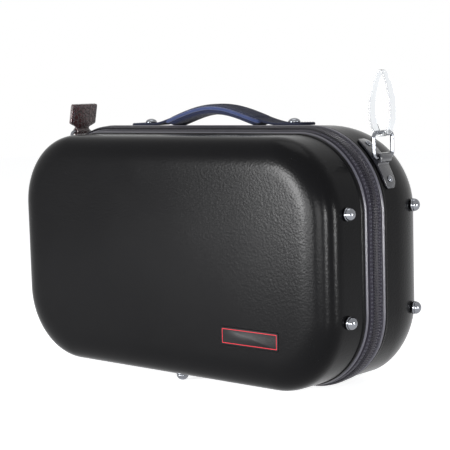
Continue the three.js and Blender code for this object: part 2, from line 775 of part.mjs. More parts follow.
// Strap lugs: a strip bent round each upper corner, with a barrel that carries the ring.
const barrelBore = ring.wireRadius + lug.boreGap;
function barrelAxis(end) {
  const { place, out } = lugSeat(end, lug.middleAngle);
  return place.clone().addScaledVector(out, lug.barrelRise);
}
function lugGeometry(end) {
  const steps = 10;
  const rows = Array.from({ length: steps + 1 }, (_, i) => {
    const share = -1 + (2 * i) / steps;
    const stop = lugStop(end, lug.middleAngle + share * lug.halfSpan);
    const narrow = lug.endWidthShare + (1 - lug.endWidthShare) * Math.sqrt(1 - Math.pow(share, 4));
    const half = (lug.width / 2) * narrow;
    return [[-half, clearance], [half, clearance], [half * 0.8, lug.thickness], [-half * 0.8, lug.thickness]].map(
      ([w, u]) => onOutline(stop, lugY - zipY + w, u),
    );
  });
  const centre = barrelAxis(end);
  const barrelStart = centre.clone().addScaledVector(yOut, -lug.width / 2);
  const barrel = rod(lug.barrelRadius, barrelStart, yOut, lug.width);
  const { place, out } = lugSeat(end, lug.middleAngle);
  const web = new THREE.BoxGeometry(lug.barrelRise, lug.width, 2 * lug.barrelRadius);
  web.applyQuaternion(new THREE.Quaternion().setFromUnitVectors(xOut, out));
  const webMiddle = place.clone().addScaledVector(out, lug.barrelRise / 2 + lug.thickness / 2);
  web.translate(webMiddle.x, webMiddle.y, webMiddle.z);
  const boreStart = centre.clone().addScaledVector(yOut, -lug.width / 2 - cutOverrun);
  const bore = rod(barrelBore, boreStart, yOut, lug.width + 2 * cutOverrun);
  const rivetHoles = lugRivetSeats(end).map((one) =>
    rod(lugHole, one.place, one.out, lug.thickness + cutOverrun, 8),
  );
  return cutFrom(joinAll([skin(rows), barrel, web]), [bore, ...rivetHoles]);
}
const lugRivet = rivetProfile(
  lug.rivetRadius,
  lug.rivetHeight,
  lug.rivetShank,
  lug.thickness + clearance,
  washerFace,
  lug.rivetRadius,
  lug.rivetHeight,
);
for (const [end, side] of [[-1, "left"], [1, "right"]]) {
  piece(`strap_lug_${side}`, lugGeometry(end), smokePlastic);
  lugRivetSeats(end).forEach(({ place, out }, i) => {
    piece(`strap_lug_rivet_${side}_${["lower", "upper"][i]}`, turned(lugRivet, place, out, washerSteps), chrome);
  });
}

// Rings: a round wire bent to a rectangle that stands on its bar in the lug's barrel.
function ringGeometry(end) {
  const centre = barrelAxis(end);
  const half = ring.innerWidth / 2 + ring.wireRadius;
  const r = ring.cornerRadius;
  const corners = [
    [half - r, ring.height - r, 0],
    [-half + r, ring.height - r, Math.PI / 2],
    [-half + r, r, Math.PI],
    [half - r, r, (3 * Math.PI) / 2],
  ];
  const rows = corners.flatMap(([y, z, start]) =>
    Array.from({ length: 3 }, (_, i) => {
      const turn = start + (i / 2) * (Math.PI / 2);
      const out = new THREE.Vector3(0, Math.cos(turn), Math.sin(turn));
      const middle = new THREE.Vector3(0, y, z).addScaledVector(out, r).add(centre);
      return Array.from({ length: wireSides }, (_, k) => {
        const around = ((k + 1 / 2) / wireSides) * 2 * Math.PI;
        return middle
          .clone()
          .addScaledVector(out, ring.wireRadius * Math.cos(around))
          .addScaledVector(xOut, ring.wireRadius * Math.sin(around));
      });
    }),
  );
  return skin(rows, true);
}
// A band that goes round the ring's top wire: a teardrop that is widest below the middle.
function bandLoop(end) {
  const centre = barrelAxis(end);
  const bottom = ring.height - ring.wireRadius - clearance;
  const steps = 22;
  const path = Array.from({ length: steps }, (_, i) => {
    const turn = (i / steps) * 2 * Math.PI;
    const rise = (1 - Math.cos(turn)) / 2;
    const wide = Math.sin(turn) * (1 + tagLoop.bulgeShare * Math.cos(turn));
    const half = tagLoop.span / 2 - tagLoop.thickness;
    return new THREE.Vector2(centre.x + wide * half, centre.z + bottom + rise * tagLoop.height);
  });
  return strip(path.reverse(), lugY, tagLoop.width, tagLoop.thickness, true);
}

// A leather tab folded round the ring's top wire, with its two plies sewn flat above it.
function tabGeometry(end) {
  const hole = ring.wireRadius + clearance;
  const outer = hole + tab.ply;
  const meet = Math.asin(tab.ply / outer);
  const outline = new THREE.Shape();
  outline.moveTo(-tab.ply, tab.height);
  outline.absarc(0, 0, outer, Math.PI / 2 + meet, Math.PI / 2 - meet + 2 * Math.PI, false);
  outline.lineTo(tab.ply, tab.height);
  const eye = new THREE.Path();
  eye.absarc(0, 0, hole, 0, 2 * Math.PI, true);
  outline.holes.push(eye);
  const neck = new THREE.ExtrudeGeometry(outline, { depth: tab.neckWidth, bevelEnabled: false, curveSegments: 7 });
  neck.translate(0, 0, -tab.neckWidth / 2);
  neck.rotateX(Math.PI / 2);
  const leaf = new THREE.BoxGeometry(2 * tab.ply, tab.width, tab.height - tab.shoulder);
  leaf.translate(0, 0, (tab.height + tab.shoulder) / 2);
  const geometry = joinAll([neck, leaf]);
  geometry.rotateY(THREE.MathUtils.degToRad(tab.lean));
  const centre = barrelAxis(end);
  return geometry.translate(centre.x, centre.y, centre.z + ring.height);
}
piece("ring_left", ringGeometry(-1), chrome);
piece("ring_right", ringGeometry(1), chrome);
piece("leather_tab", tabGeometry(-1), leather);
piece("clear_loop", bandLoop(1), clearVinyl);

// Zip sliders, nose to nose on the left end: two blades joined by a wedge that parts the teeth.
const plateLow = bandTop + clearance;
const plateTop = plateLow + slider.plateThickness;
const innerPlateTop = toothLow - clearance;
// An outline of [y, z] points becomes a plate that faces the left end.
function endPlate(points, low, high, z) {
  const outline = new THREE.Shape(points.map(([y, along]) => new THREE.Vector2(y, along)));
  const geometry = new THREE.ExtrudeGeometry(outline, { depth: high - low, bevelEnabled: false });
  geometry.applyMatrix4(new THREE.Matrix4().makeBasis(yOut, zOut, xOut));
  return geometry.translate(-high, 0, z);
}
// Puts a piece made about the middle of the zip on the left end, tilted as the zip is there.
const onZip = (geometry) => geometry.rotateZ(zipTilt).translate(-halfLength - zipOut, zipY, 0);
// nose is -1 where the slider's nose points down and 1 where it points up.
function sliderGeometry(z, nose) {
  const [wide, long] = [slider.width / 2, slider.length / 2];
  const ease = wide * (1 - slider.tailShare);
  const tail = wide * slider.tailShare;
  const blade = [
    [-tail, -long],
    [tail, -long],
    [wide, ease - long],
    [wide, long - ease],
    [tail, long],
    [-tail, long],
    [-wide, long - ease],
    [-wide, ease - long],
  ].map(([y, along]) => [y, along * nose]);
  const wedgeHalf = slider.wedgeWidth / 2;
  const wedgeTop = long - slider.wedgeFromNose;
  const wedge = [
    [0, wedgeTop - slider.wedgeLength],
    [wedgeHalf, wedgeTop - wedgeHalf],
    [0, wedgeTop],
    [-wedgeHalf, wedgeTop - wedgeHalf],
  ].map(([y, along]) => [y, along * nose]);
  const r = slider.bailSpan / 2 - slider.bailThickness;
  const stand = plateTop - clearance;
  const rise = slider.bailHeight + clearance - slider.bailThickness;
  const path = Array.from({ length: bailSteps + 1 }, (_, i) => {
    const turn = (i / bailSteps) * Math.PI;
    return new THREE.Vector2(-stand - Math.sin(turn) * rise, z - Math.cos(turn) * r);
  });
  return onZip(
    joinAll([
      endPlate(blade, plateLow, plateTop, z),
      endPlate(blade, innerPlateTop - slider.plateThickness, innerPlateTop, z),
      endPlate(wedge, innerPlateTop - clearance, plateLow + clearance, z),
      strip(path, 0, slider.bailWidth, slider.bailThickness),
    ]),
  );
}
// A pull hangs from its bail by the bar above its window. The pivot is the bar's middle.
const pivotU = plateTop + clearance + pull.barHeight / 2 + pull.play;
function pullGeometry(pivotZ) {
  const outline = new THREE.Shape();
  const top = pull.barHeight / 2;
  const [half, neck] = [pull.width / 2, pull.neckWidth / 2];
  outline.moveTo(-neck, top);
  outline.lineTo(neck, top);
  outline.lineTo(neck, -pull.windowHeight - pull.barHeight);
  outline.lineTo(half, -pull.length + half);
  outline.absarc(0, -pull.length + half, half, 0, -Math.PI, true);
  outline.lineTo(-neck, -pull.windowHeight - pull.barHeight);
  const opening = new THREE.Path();
  const w = pull.windowWidth / 2;
  opening.moveTo(-w, -top);
  opening.lineTo(-w, -top - pull.windowHeight);
  opening.lineTo(w, -top - pull.windowHeight);
  opening.lineTo(w, -top);
  outline.holes.push(opening);
  const geometry = new THREE.ExtrudeGeometry(outline, { depth: pull.thickness, bevelEnabled: false, curveSegments: 8 });
  geometry.translate(0, 0, -pull.thickness / 2);
  // The outline's x becomes Y, its y becomes Z and its depth runs along X.
  geometry.applyMatrix4(new THREE.Matrix4().makeBasis(yOut, zOut, xOut));
  return onZip(geometry.translate(-pivotU, 0, pivotZ));
}
const sliderZ = { upper: slider.pitch / 2, lower: -slider.pitch / 2 };
piece("slider_upper", sliderGeometry(sliderZ.upper, -1), gunmetal);
piece("slider_lower", sliderGeometry(sliderZ.lower, 1), gunmetal);
piece("pull_upper", pullGeometry(sliderZ.upper), gunmetal);
piece("pull_lower", pullGeometry(sliderZ.lower), gunmetal);

// Foam inserts covered in plush. The base has a pocket for each joint of the clarinet.
const insertStops = outlineStops(4);
const insertSteps = 3;
function insertRows(side) {
  const front = side * insert.faceGap;
  const turns = Array.from({ length: insertSteps + 1 }, (_, i) => (i / insertSteps) * (Math.PI / 2));
  const faceIn = shell.wall + clearance;
  const edgeRows = turns.map((turn) => edgeRing(insertStops, side, turn, insert.inset, faceIn, insert.edgeRoom));
  return [
    ringAt(insertStops, front, -insert.inset - insert.lipRadius),
    ringAt(insertStops, front + side * insert.lipRadius * 0.3, -insert.inset - insert.lipRadius * 0.3),
    ringAt(insertStops, front + side * insert.lipRadius, -insert.inset),
    ...edgeRows,
  ];
}
// A pocket's cutter, standing in from the foam's face.
function pocketCutter({ x, z, length, height, depth, footShare }) {
  const outline = plateShape(length, height, pocketRadius);
  const geometry = new THREE.ExtrudeGeometry(outline, {
    depth: depth + cutOverrun,
    bevelEnabled: false,
    curveSegments: 1,
  });
  const points = geometry.getAttribute("position");
  for (let i = 0; i < points.count; i++) {
    const drop = 1 / 2 - points.getY(i) / height;
    points.setX(i, points.getX(i) * (1 - (1 - footShare) * drop));
  }
  // The outline's y becomes Z, and its depth runs back along Y.
  geometry.rotateX(Math.PI / 2);
  return geometry.translate(x, zipY + insert.faceGap + depth, z);
}
piece("base_insert", cutFrom(skin(insertRows(1)), Object.values(pockets).map(pocketCutter)), plush);

function lidInsertGeometry() {
  const recessFace = -insert.faceGap;
  const floor = recessFace - insert.lidRecessDepth;
  const inset = -insert.inset - insert.lidBorder;
  const recess = skin([
    ringAt(insertStops, recessFace + cutOverrun, inset),
    ringAt(insertStops, floor + insert.lipRadius * 2, inset),
    ringAt(insertStops, floor, inset - insert.lipRadius * 2),
  ]);
  return cutFrom(skin(insertRows(-1)), [recess]);
}
piece("lid_insert", lidInsertGeometry(), plush);

// The case is set on its feet, with the origin under the middle of its bounding box.
const bounds = new THREE.Box3().setFromObject(body, true);
const middle = bounds.getCenter(new THREE.Vector3());
body.position.set(-middle.x, -middle.y, -bounds.min.z);

// The places that a maker needs to set the joints.
body.updateMatrixWorld(true);
const told = (name, x, y, z) => {
  const place = new THREE.Vector3(x, y, z).add(body.position);
  console.log(name, place.toArray().map((value) => Number(value.toFixed(3))));
};
told("shell_middle", 0, 0, 0);
told("hinge", 0, zipY, -halfHeight - bandTop);
told("ring_left", ...barrelAxis(-1).toArray());
told("ring_right", ...barrelAxis(1).toArray());
const pullAxis = onZip(new THREE.BufferGeometry().setFromPoints([new THREE.Vector3(-pivotU, 0, 0)]));
const [pullX, pullY] = pullAxis.getAttribute("position").array;
told("pull_upper", pullX, pullY, sliderZ.upper);
told("pull_lower", pullX, pullY, sliderZ.lower);
told("lid_foot", 0, footLidY, -halfHeight - foot.height);
told("base_foot_left", -foot.baseSpacing / 2, footBaseY, -halfHeight - foot.height);
told("back_face", 0, wholeDepth / 2, 0);
for (const [name, { x, z }] of Object.entries(pockets)) {
  told(`pocket_${name}`, x, zipY + insert.faceGap, z);
}

export default clarinetCase;
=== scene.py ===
# A clarinet case: two moulded shells joined by a zip and a fabric hinge.
# It has a padded handle, strap rings, domed feet and plush-covered foam inside.
# Sizes in the dictionaries are millimetres, and meshes are made in place, in metres.
import bpy
import bmesh
import math
from mathutils import Matrix, Vector


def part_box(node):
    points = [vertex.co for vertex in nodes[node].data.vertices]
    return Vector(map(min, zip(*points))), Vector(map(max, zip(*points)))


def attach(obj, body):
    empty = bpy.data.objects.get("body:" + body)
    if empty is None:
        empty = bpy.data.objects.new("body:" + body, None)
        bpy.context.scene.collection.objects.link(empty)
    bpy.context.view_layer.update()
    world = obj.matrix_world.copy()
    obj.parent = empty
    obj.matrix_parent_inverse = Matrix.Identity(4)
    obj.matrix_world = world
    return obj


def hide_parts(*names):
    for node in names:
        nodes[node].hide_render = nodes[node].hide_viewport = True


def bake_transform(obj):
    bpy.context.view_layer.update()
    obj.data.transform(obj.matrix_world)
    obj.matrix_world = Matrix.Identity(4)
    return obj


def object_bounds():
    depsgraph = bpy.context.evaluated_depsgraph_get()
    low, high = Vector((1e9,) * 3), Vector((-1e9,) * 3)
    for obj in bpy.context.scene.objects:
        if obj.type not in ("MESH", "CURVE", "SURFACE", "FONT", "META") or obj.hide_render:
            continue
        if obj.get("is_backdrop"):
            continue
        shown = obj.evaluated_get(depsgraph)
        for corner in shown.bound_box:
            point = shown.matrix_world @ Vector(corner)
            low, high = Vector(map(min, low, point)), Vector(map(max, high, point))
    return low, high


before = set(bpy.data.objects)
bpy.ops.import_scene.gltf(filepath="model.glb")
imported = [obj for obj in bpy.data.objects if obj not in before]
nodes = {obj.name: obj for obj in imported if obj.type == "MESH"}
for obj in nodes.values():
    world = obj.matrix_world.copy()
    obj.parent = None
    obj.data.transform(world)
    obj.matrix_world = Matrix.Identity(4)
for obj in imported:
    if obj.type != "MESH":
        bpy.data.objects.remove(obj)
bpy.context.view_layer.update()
scene = bpy.context.scene
metre = 0.001  # one millimetre in the scene's unit
quarter = math.pi / 2
halves = ((-1, "lid"), (1, "base"))
ends = ((-1, "left"), (1, "right"))
quadrants = ((1, 1), (-1, 1), (-1, -1), (1, -1))
print("frame loaded:", len(nodes), "nodes")


def addObject(name, data):
    made = bpy.data.objects.new(name, data)
    scene.collection.objects.link(made)
    return made


# The camera stands where the photographer stood.
camera = {
    "place": (750.7, -824.2, 240.8),
    "target": (8.4, 9.0, 123.5),
    "roll": -1.6,  # degrees
    "lens": 107.2,
    "sensor": 36.0,
    "clipEnd": 30,  # metres
}
cameraData = bpy.data.cameras.new("photoCamera")
cameraData.lens = camera["lens"]
cameraData.sensor_width = camera["sensor"]
cameraData.clip_end = camera["clipEnd"]
stand = Vector(camera["place"]) * metre
sight = Vector(camera["target"]) * metre - stand
aim = sight.to_track_quat("-Z", "Y").to_matrix().to_4x4()
roll = Matrix.Rotation(math.radians(camera["roll"]), 4, "Z")
scene.camera = addObject("photoCamera", cameraData)
scene.camera.matrix_world = Matrix.Translation(stand) @ aim @ roll
print("camera placed")


# Small tools for nodes and colours.
finishes = {}


def toLinear(code):
    shares = [int(code[i:i + 2], 16) / 255 for i in (1, 3, 5)]
    return (*[s / 12.92 if s <= 0.04045 else ((s + 0.055) / 1.055) ** 2.4 for s in shares], 1.0)


def addNode(tree, kind, inputs=None, **settings):
    node = tree.nodes.new(kind)
    for key, value in settings.items():
        setattr(node, key, value)
    for key, value in (inputs or {}).items():
        if isinstance(value, bpy.types.NodeSocket):
            tree.links.new(value, node.inputs[key])
        else:
            node.inputs[key].default_value = value
    return node


def addMath(tree, operation, first, second):
    return addNode(tree, "ShaderNodeMath", {0: first, 1: second}, operation=operation).outputs[0]


def newFinish(name, color, roughness, **constants):
    finish = bpy.data.materials.new(name + "Finish")
    finishes[name] = finish
    finish.use_nodes = True
    shader = finish.node_tree.nodes["Principled BSDF"]
    constants.update({"Base Color": toLinear(color), "Roughness": roughness})
    for key, value in constants.items():
        shader.inputs[key.replace("_", " ")].default_value = value
    return shader


def drive(shader, name, kind, inputs, output, **settings):
    # a new node's output drives one of the shader's inputs
    node = addNode(shader.id_data, kind, inputs, **settings)
    shader.id_data.links.new(node.outputs[output], shader.inputs[name])


def addRelief(shader, height, depth, strength):
    # depth is in millimetres
    wanted = {"Height": height, "Distance": depth * metre, "Strength": strength}
    drive(shader, "Normal", "ShaderNodeBump", wanted, "Normal")


def addTint(shader, share, low, high):
    # the base colour runs from low to high with the share
    wanted = {0: share, 6: toLinear(low), 7: toLinear(high)}
    drive(shader, "Base Color", "ShaderNodeMix", wanted, 2, data_type="RGBA")


def addGloss(shader, share, low, high):
    wanted = {"Value": share, "To Min": low, "To Max": high}
    drive(shader, "Roughness", "ShaderNodeMapRange", wanted, "Result")


def addTexture(shader, kind, size, inputs=None, **settings):
    # its features are that many millimetres across, in object coordinates
    place = addNode(shader.id_data, "ShaderNodeTexCoord").outputs["Object"]
    wanted = {"Vector": place, "Scale": 1 / (size * metre), **(inputs or {})}
    return addNode(shader.id_data, "ShaderNodeTex" + kind, wanted, **settings).outputs


def addNoise(shader, size, detail):
    return addTexture(shader, "Noise", size, {"Detail": detail})["Fac"]


# Finishes. Each pattern's size is that of the real surface.
# Black ABS moulded with a fine pebble grain, which breaks up the highlights along the rounded edges.
shader = newFinish("abs", "#070708", 0.24, Specular_IOR_Level=0.07)
patches = addNoise(shader, size=60, detail=4)
addRelief(shader, addTexture(shader, "Voronoi", 1.65, feature="SMOOTH_F1")["Distance"], 0.12, 0.55)
addGloss(shader, patches, 0.21, 0.27)
addTint(shader, patches, "#050506", "#080809")

# Bright plating with faint polishing marks, dark and light by what it reflects. Its base colour is set darker
# than bright chrome, a painted shade that stands in for dark surroundings in its reflections.
shader = newFinish("chrome", "#7a7c81", 0.07, Metallic=1.0)
addGloss(shader, addNoise(shader, size=1.6, detail=3), 0.04, 0.14)

# Dull plated steel of the washers and the plate inside, with a spangled surface.
shader = newFinish("zinc", "#9a9ca0", 0.35, Metallic=1.0)
addGloss(shader, addTexture(shader, "Voronoi", 2.5)["Distance"], 0.28, 0.45)

# Dark plated zinc casting of the sliders and pulls, a little rubbed.
shader = newFinish("gunmetal", "#5d5e63", 0.26, Metallic=1.0)
rub = addNoise(shader, size=2.2, detail=5)
addGloss(shader, rub, 0.18, 0.4)
addTint(shader, rub, "#4b4c51", "#6f7075")

# Smooth nylon filament with a soft shine on each turn.
shader = newFinish("coil", "#1d1b23", 0.36)
addGloss(shader, addNoise(shader, size=6, detail=2), 0.28, 0.48)

# Glossy vinyl welt, which draws a thin light line along each rim.
shader = newFinish("piping", "#3a3942", 0.32, Coat_Weight=0.3, Coat_Roughness=0.2)
dimple = addNoise(shader, size=1.2, detail=2)
addTint(shader, dimple, "#302f37", "#45444e")
addRelief(shader, dimple, 0.06, 0.4)

# Short dark plush over foam. The pile lies in soft patches and catches light at its edges.
sheen = {"Sheen_Weight": 0.7, "Sheen_Roughness": 0.35}
shader = newFinish("plush", "#2a2b33", 1.0, Specular_IOR_Level=0.1, **sheen)
addTint(shader, addNoise(shader, size=28, detail=5), "#22232b", "#353642")
addRelief(shader, addNoise(shader, size=0.9, detail=3), 0.5, 0.6)

# Polished smoke-grey plastic of the strap lugs, with a moulded gloss.
shader = newFinish("smoke", "#26272b", 0.16, Coat_Weight=0.5, Coat_Roughness=0.08)
addGloss(shader, addNoise(shader, size=7, detail=2), 0.12, 0.24)

# Clear soft vinyl whose edges show as grey lines against a white ground.
shader = newFinish("clear", "#eef1f4", 0.08, Transmission_Weight=1.0, IOR=1.45)
addRelief(shader, addNoise(shader, size=9, detail=2), 0.3, 0.5)

# Dark red-brown leather pressed with a scale grain, shiny on the scales and dull in the creases. The creases
# are also painted much darker than the scales, a painted shade in them.
shader = newFinish("leather", "#2e1c1f", 0.3, Coat_Weight=0.3, Coat_Roughness=0.25)
scales = addTexture(shader, "Voronoi", 4.2, {"Randomness": 0.7}, feature="DISTANCE_TO_EDGE")
edges = {"Value": scales["Distance"], "From Max": 0.16}
crease = addNode(shader.id_data, "ShaderNodeMapRange", edges).outputs["Result"]
# painted shade: the colour runs much darker into the creases
addTint(shader, crease, "#120a0b", "#392123")
addGloss(shader, crease, 0.7, 0.26)
addRelief(shader, crease, 0.35, 0.8)

# Satin lacquer of the bare plate and of the line round its edge.
for name, color in (("badge", "#0d0c0e"), ("redLine", "#a3202c")):
    shader = newFinish(name, color, 0.4, Specular_IOR_Level=0.12)
    orangePeel = addNoise(shader, size=2, detail=1)
    addRelief(shader, orangePeel, 0.04, 0.3)
    addGloss(shader, orangePeel, 0.34, 0.46)

# Dark bonded thread, a little lighter than the cloth it holds.
shader = newFinish("thread", "#34333f", 0.55, Sheen_Weight=0.2)
twist = addTexture(shader, "Wave", 0.5, bands_direction="DIAGONAL")["Fac"]
addTint(shader, twist, "#2b2a35", "#41404e")


def wovenCloth(name, low, high, rib, relief, sheen):
    # Cloth whose ribs cross its length. UVs are in millimetres along and across the piece.
    shader = newFinish(name, low, 0.88, Sheen_Weight=sheen, Sheen_Roughness=0.5, Specular_IOR_Level=0.2)
    tree = shader.id_data
    flat = addNode(tree, "ShaderNodeUVMap", uv_map="cloth").outputs["UV"]
    rows = {"Vector": flat, "Scale": 1 / rib, "Distortion": 0.4, "Detail Scale": 0.5}
    warp = addNode(tree, "ShaderNodeTexWave", rows).outputs["Fac"]
    columns = {"Vector": flat, "Scale": 1 / (rib * 1.4), "Distortion": 0.4}
    weft = addNode(tree, "ShaderNodeTexWave", columns, bands_direction="Y").outputs["Fac"]
    weave = addMath(tree, "MULTIPLY", warp, weft)
    fuzz = addNode(tree, "ShaderNodeTexNoise", {"Vector": flat, "Scale": 1 / 3, "Detail": 6}).outputs["Fac"]
    addTint(shader, addMath(tree, "MULTIPLY", weave, fuzz), low, high)
    addRelief(shader, weave, relief, 0.7)


wovenCloth("tape", "#13111a", "#2c2937", 0.75, 0.12, 0.1)
wovenCloth("webbing", "#0c1124", "#1e294c", 1.6, 0.3, 0.08)
wovenCloth("grip", "#0a1026", "#18244a", 0.9, 0.12, 0.08)
wovenCloth("binding", "#222c4c", "#465380", 1.1, 0.15, 0.15)
print("finishes made:", len(finishes))


# Small tools for meshes.
def shade(mesh, sharp):
    mesh.shade_smooth()
    mesh.set_sharp_from_angle(angle=math.radians(sharp))


def addMesh(name, points, faces, finish, uvs=None, sharp=38):
    # uvs has one pair of millimetres for each corner of each face
    mesh = bpy.data.meshes.new(name)
    mesh.from_pydata(points, [], faces)
    if uvs:
        layer = mesh.uv_layers.new(name="cloth")
        layer.data.foreach_set("uv", [part for pair in uvs for part in pair])
    work = bmesh.new()
    work.from_mesh(mesh)
    bmesh.ops.recalc_face_normals(work, faces=work.faces)
    work.to_mesh(mesh)
    work.free()
    mesh.materials.append(finishes[finish])
    shade(mesh, sharp)
    return addObject(name, mesh)


def addSkin(name, rows, finish, joined=False, capped=True, sharp=38):
    # rows of points, each a closed ring, become one skin of faces with UVs along and round it
    count = len(rows[0])
    points = [point for row in rows for point in row]
    along = [0.0]
    for row, later in zip(rows, rows[1:] + rows[:1]):
        along.append(along[-1] + (later[0] - row[0]).length / metre)
    around = [0.0]
    for i in range(count):
        around.append(around[-1] + (rows[0][(i + 1) % count] - rows[0][i]).length / metre)
    faces = []
    uvs = []
    for r in range(len(rows) if joined else len(rows) - 1):
        start, later = r * count, (r + 1) % len(rows) * count
        for i in range(count):
            j = (i + 1) % count
            faces.append((start + i, start + j, later + j, later + i))
            uvs += [(along[r], around[i]), (along[r], around[i + 1])]
            uvs += [(along[r + 1], around[i + 1]), (along[r + 1], around[i])]
    if capped and not joined:
        for start in (0, (len(rows) - 1) * count):
            faces.append(tuple(range(start, start + count)))
            uvs += [(0.0, around[i]) for i in range(count)]
    return addMesh(name, points, faces, finish, uvs, sharp)


def turnsOf(count):
    return [2 * math.pi * i / count for i in range(count)]


def quarterOf(steps):
    return [i / steps * quarter for i in range(steps + 1)]


def arc(x, y, wide, high, angles):
    return [(x + wide * math.cos(a), y + high * math.sin(a)) for a in angles]


def stepsFrom(a, b, count):
    return [a + (b - a) * i / count for i in range(count + 1)]


def mixed(a, b, share):
    return a + (b - a) * share


def eased(share):
    share = min(max(share, 0), 1)
    return share * share * (3 - 2 * share)


def addTurned(name, profile, finish, steps=28):
    # a piece turned about +Z at the origin, from (radius, height) points with its ends on the axis
    points = [Vector((0, 0, profile[end][1])) * metre for end in (0, -1)]
    rings = profile[1:-1]
    for radius, height in rings:
        points += [Vector((x, y, height)) * metre for x, y in arc(0, 0, radius, radius, turnsOf(steps))]
    faces = []
    last = 2 + (len(rings) - 1) * steps
    for i in range(steps):
        j = (i + 1) % steps
        faces += [(0, 2 + j, 2 + i), (1, last + i, last + j)]
        faces += [(low + i, low + j, low + steps + j, low + steps + i) for low in range(2, last, steps)]
    return addMesh(name, points, faces, finish)


def tubeRows(path, radius, sides=12, closed=False):
    # rings of a round wire along a path, turned as little as possible from one ring to the next
    rows = []
    side = None
    for i, point in enumerate(path):
        before = path[i - 1] if closed or i else point
        after = path[(i + 1) % len(path)] if closed or i + 1 < len(path) else point
        along = (after - before).normalized()
        if side is None:
            side = along.orthogonal().normalized()
        side = (side - along * side.dot(along)).normalized()
        over = along.cross(side)
        circle = arc(0, 0, radius * metre, radius * metre, turnsOf(sides))
        rows.append([point + side * x + over * y for x, y in circle])
    return rows


def roundedBox(length, height, corner, steps=6):
    x, y = length / 2 - corner, height / 2 - corner
    points = []
    for k, (right, up) in enumerate(quadrants):
        points += arc(right * x, up * y, corner, corner, [k * quarter + a for a in quarterOf(steps)])
    return [Vector(point) for point in points]


def roundedSection(halfWidth, low, high, corner, steps=4):
    middle = Vector((0, (low + high) / 2))
    return [middle + point for point in roundedBox(2 * halfWidth, high - low, corner, steps)]


def remove(*objects):
    for unwanted in objects:
        bpy.data.objects.remove(unwanted)


def joinObjects(name, parts):
    work = bmesh.new()
    for part in parts:
        work.from_mesh(part.data)
    mesh = bpy.data.meshes.new(name)
    work.to_mesh(mesh)
    work.free()
    mesh.materials.append(parts[0].data.materials[0])
    remove(*parts)
    return addObject(name, mesh)


def baked(source):
    # the object's mesh as its modifiers leave it, and the modifiers gone
    bpy.context.view_layer.update()
    solved = source.evaluated_get(bpy.context.evaluated_depsgraph_get())
    mesh = bpy.data.meshes.new_from_object(solved)
    source.modifiers.clear()
    source.data = mesh
    mesh.name = source.name
    return source


def carve(target, cutter, sharp=38):
    cut = target.modifiers.new("cut", "BOOLEAN")
    cut.operation = "DIFFERENCE"
    cut.solver = "EXACT"
    cut.object = cutter
    baked(target)
    remove(cutter)
    shade(target.data, sharp)
    return target


def settle(made, body, slot, *replaced):
    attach(made, body)
    if replaced:
        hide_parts(*replaced)


# Geometry Nodes: one small piece, set at each seat or at a pitch along paths.
# The "outward" attribute is the way that each copy's +Z points.
def copiesTree(name, onPath):
    tree = bpy.data.node_groups.new(name, "GeometryNodeTree")
    wanted = {
        "Geometry": "Geometry",
        "Piece": "Object",
        "Finish": "Material",
        "Size Spread": "Float",
        "Seed": "Int",
    }
    if onPath:
        wanted["Pitch"] = "Float"
    for label, kind in wanted.items():
        tree.interface.new_socket(label, in_out="INPUT", socket_type="NodeSocket" + kind)
    tree.interface.new_socket("Geometry", in_out="OUTPUT", socket_type="NodeSocketGeometry")

    def add(kind, inputs=None, output=0, **settings):
        return addNode(tree, kind, inputs, **settings).outputs[output]

    given = addNode(tree, "NodeGroupInput").outputs
    outward = add("GeometryNodeInputNamedAttribute", {"Name": "outward"}, data_type="FLOAT_VECTOR")
    if onPath:
        curve = add("GeometryNodeMeshToCurve", {"Mesh": given["Geometry"]})
        spots = add("GeometryNodeResampleCurve", {"Curve": curve, "Length": given["Pitch"]}, mode="LENGTH")
        axes = {0: outward, 1: add("GeometryNodeInputTangent")}
        turn = add("FunctionNodeAxesToRotation", axes, primary_axis="Z", secondary_axis="X")
    else:
        spots = given["Geometry"]
        turn = add("FunctionNodeAlignRotationToVector", {"Vector": outward}, axis="Z")
    least = addMath(tree, "SUBTRACT", 1.0, given["Size Spread"])
    size = add("FunctionNodeRandomValue", {2: least, 3: 1.0, 8: given["Seed"]}, 1, data_type="FLOAT")
    piece = add("GeometryNodeObjectInfo", {"Object": given["Piece"], "As Instance": True}, "Geometry")
    placed = {"Points": spots, "Instance": piece, "Rotation": turn, "Scale": size}
    whole = add("GeometryNodeRealizeInstances", {0: add("GeometryNodeInstanceOnPoints", placed)})
    dressed = add("GeometryNodeSetMaterial", {"Geometry": whole, "Material": given["Finish"]})
    addNode(tree, "NodeGroupOutput", {0: dressed})
    return tree


seatTree = copiesTree("piecesOnSeats", False)
rowTree = copiesTree("piecesAlongPath", True)
copySharp = 50  # degrees


def addCopies(name, piece, finish, spots, pitch=None, spread=0.0, seed=1):
    # spots is a list of (place, outward) seats or, with a pitch, a list of such lists, each one a path
    paths = spots if pitch else [[spot] for spot in spots]
    mesh = bpy.data.meshes.new(name)
    points = [place for path in paths for place, _ in path]
    edges = []
    start = 0
    for path in paths:
        edges += [(start + i, start + i + 1) for i in range(len(path) - 1)]
        start += len(path)
    mesh.from_pydata(points, edges, [])
    layer = mesh.attributes.new("outward", "FLOAT_VECTOR", "POINT")
    layer.data.foreach_set("vector", [part for path in paths for _, out in path for part in out])
    made = addObject(name, mesh)
    tree = rowTree if pitch else seatTree
    wanted = {"Piece": piece, "Finish": finishes[finish], "Size Spread": spread, "Seed": seed}
    if pitch:
        wanted["Pitch"] = pitch * metre
    modifier = made.modifiers.new(tree.name, "NODES")
    modifier.node_group = tree
    for label, value in wanted.items():
        modifier[tree.interface.items_tree[label].identifier] = value
    baked(made)
    shade(made.data, copySharp)
    return made


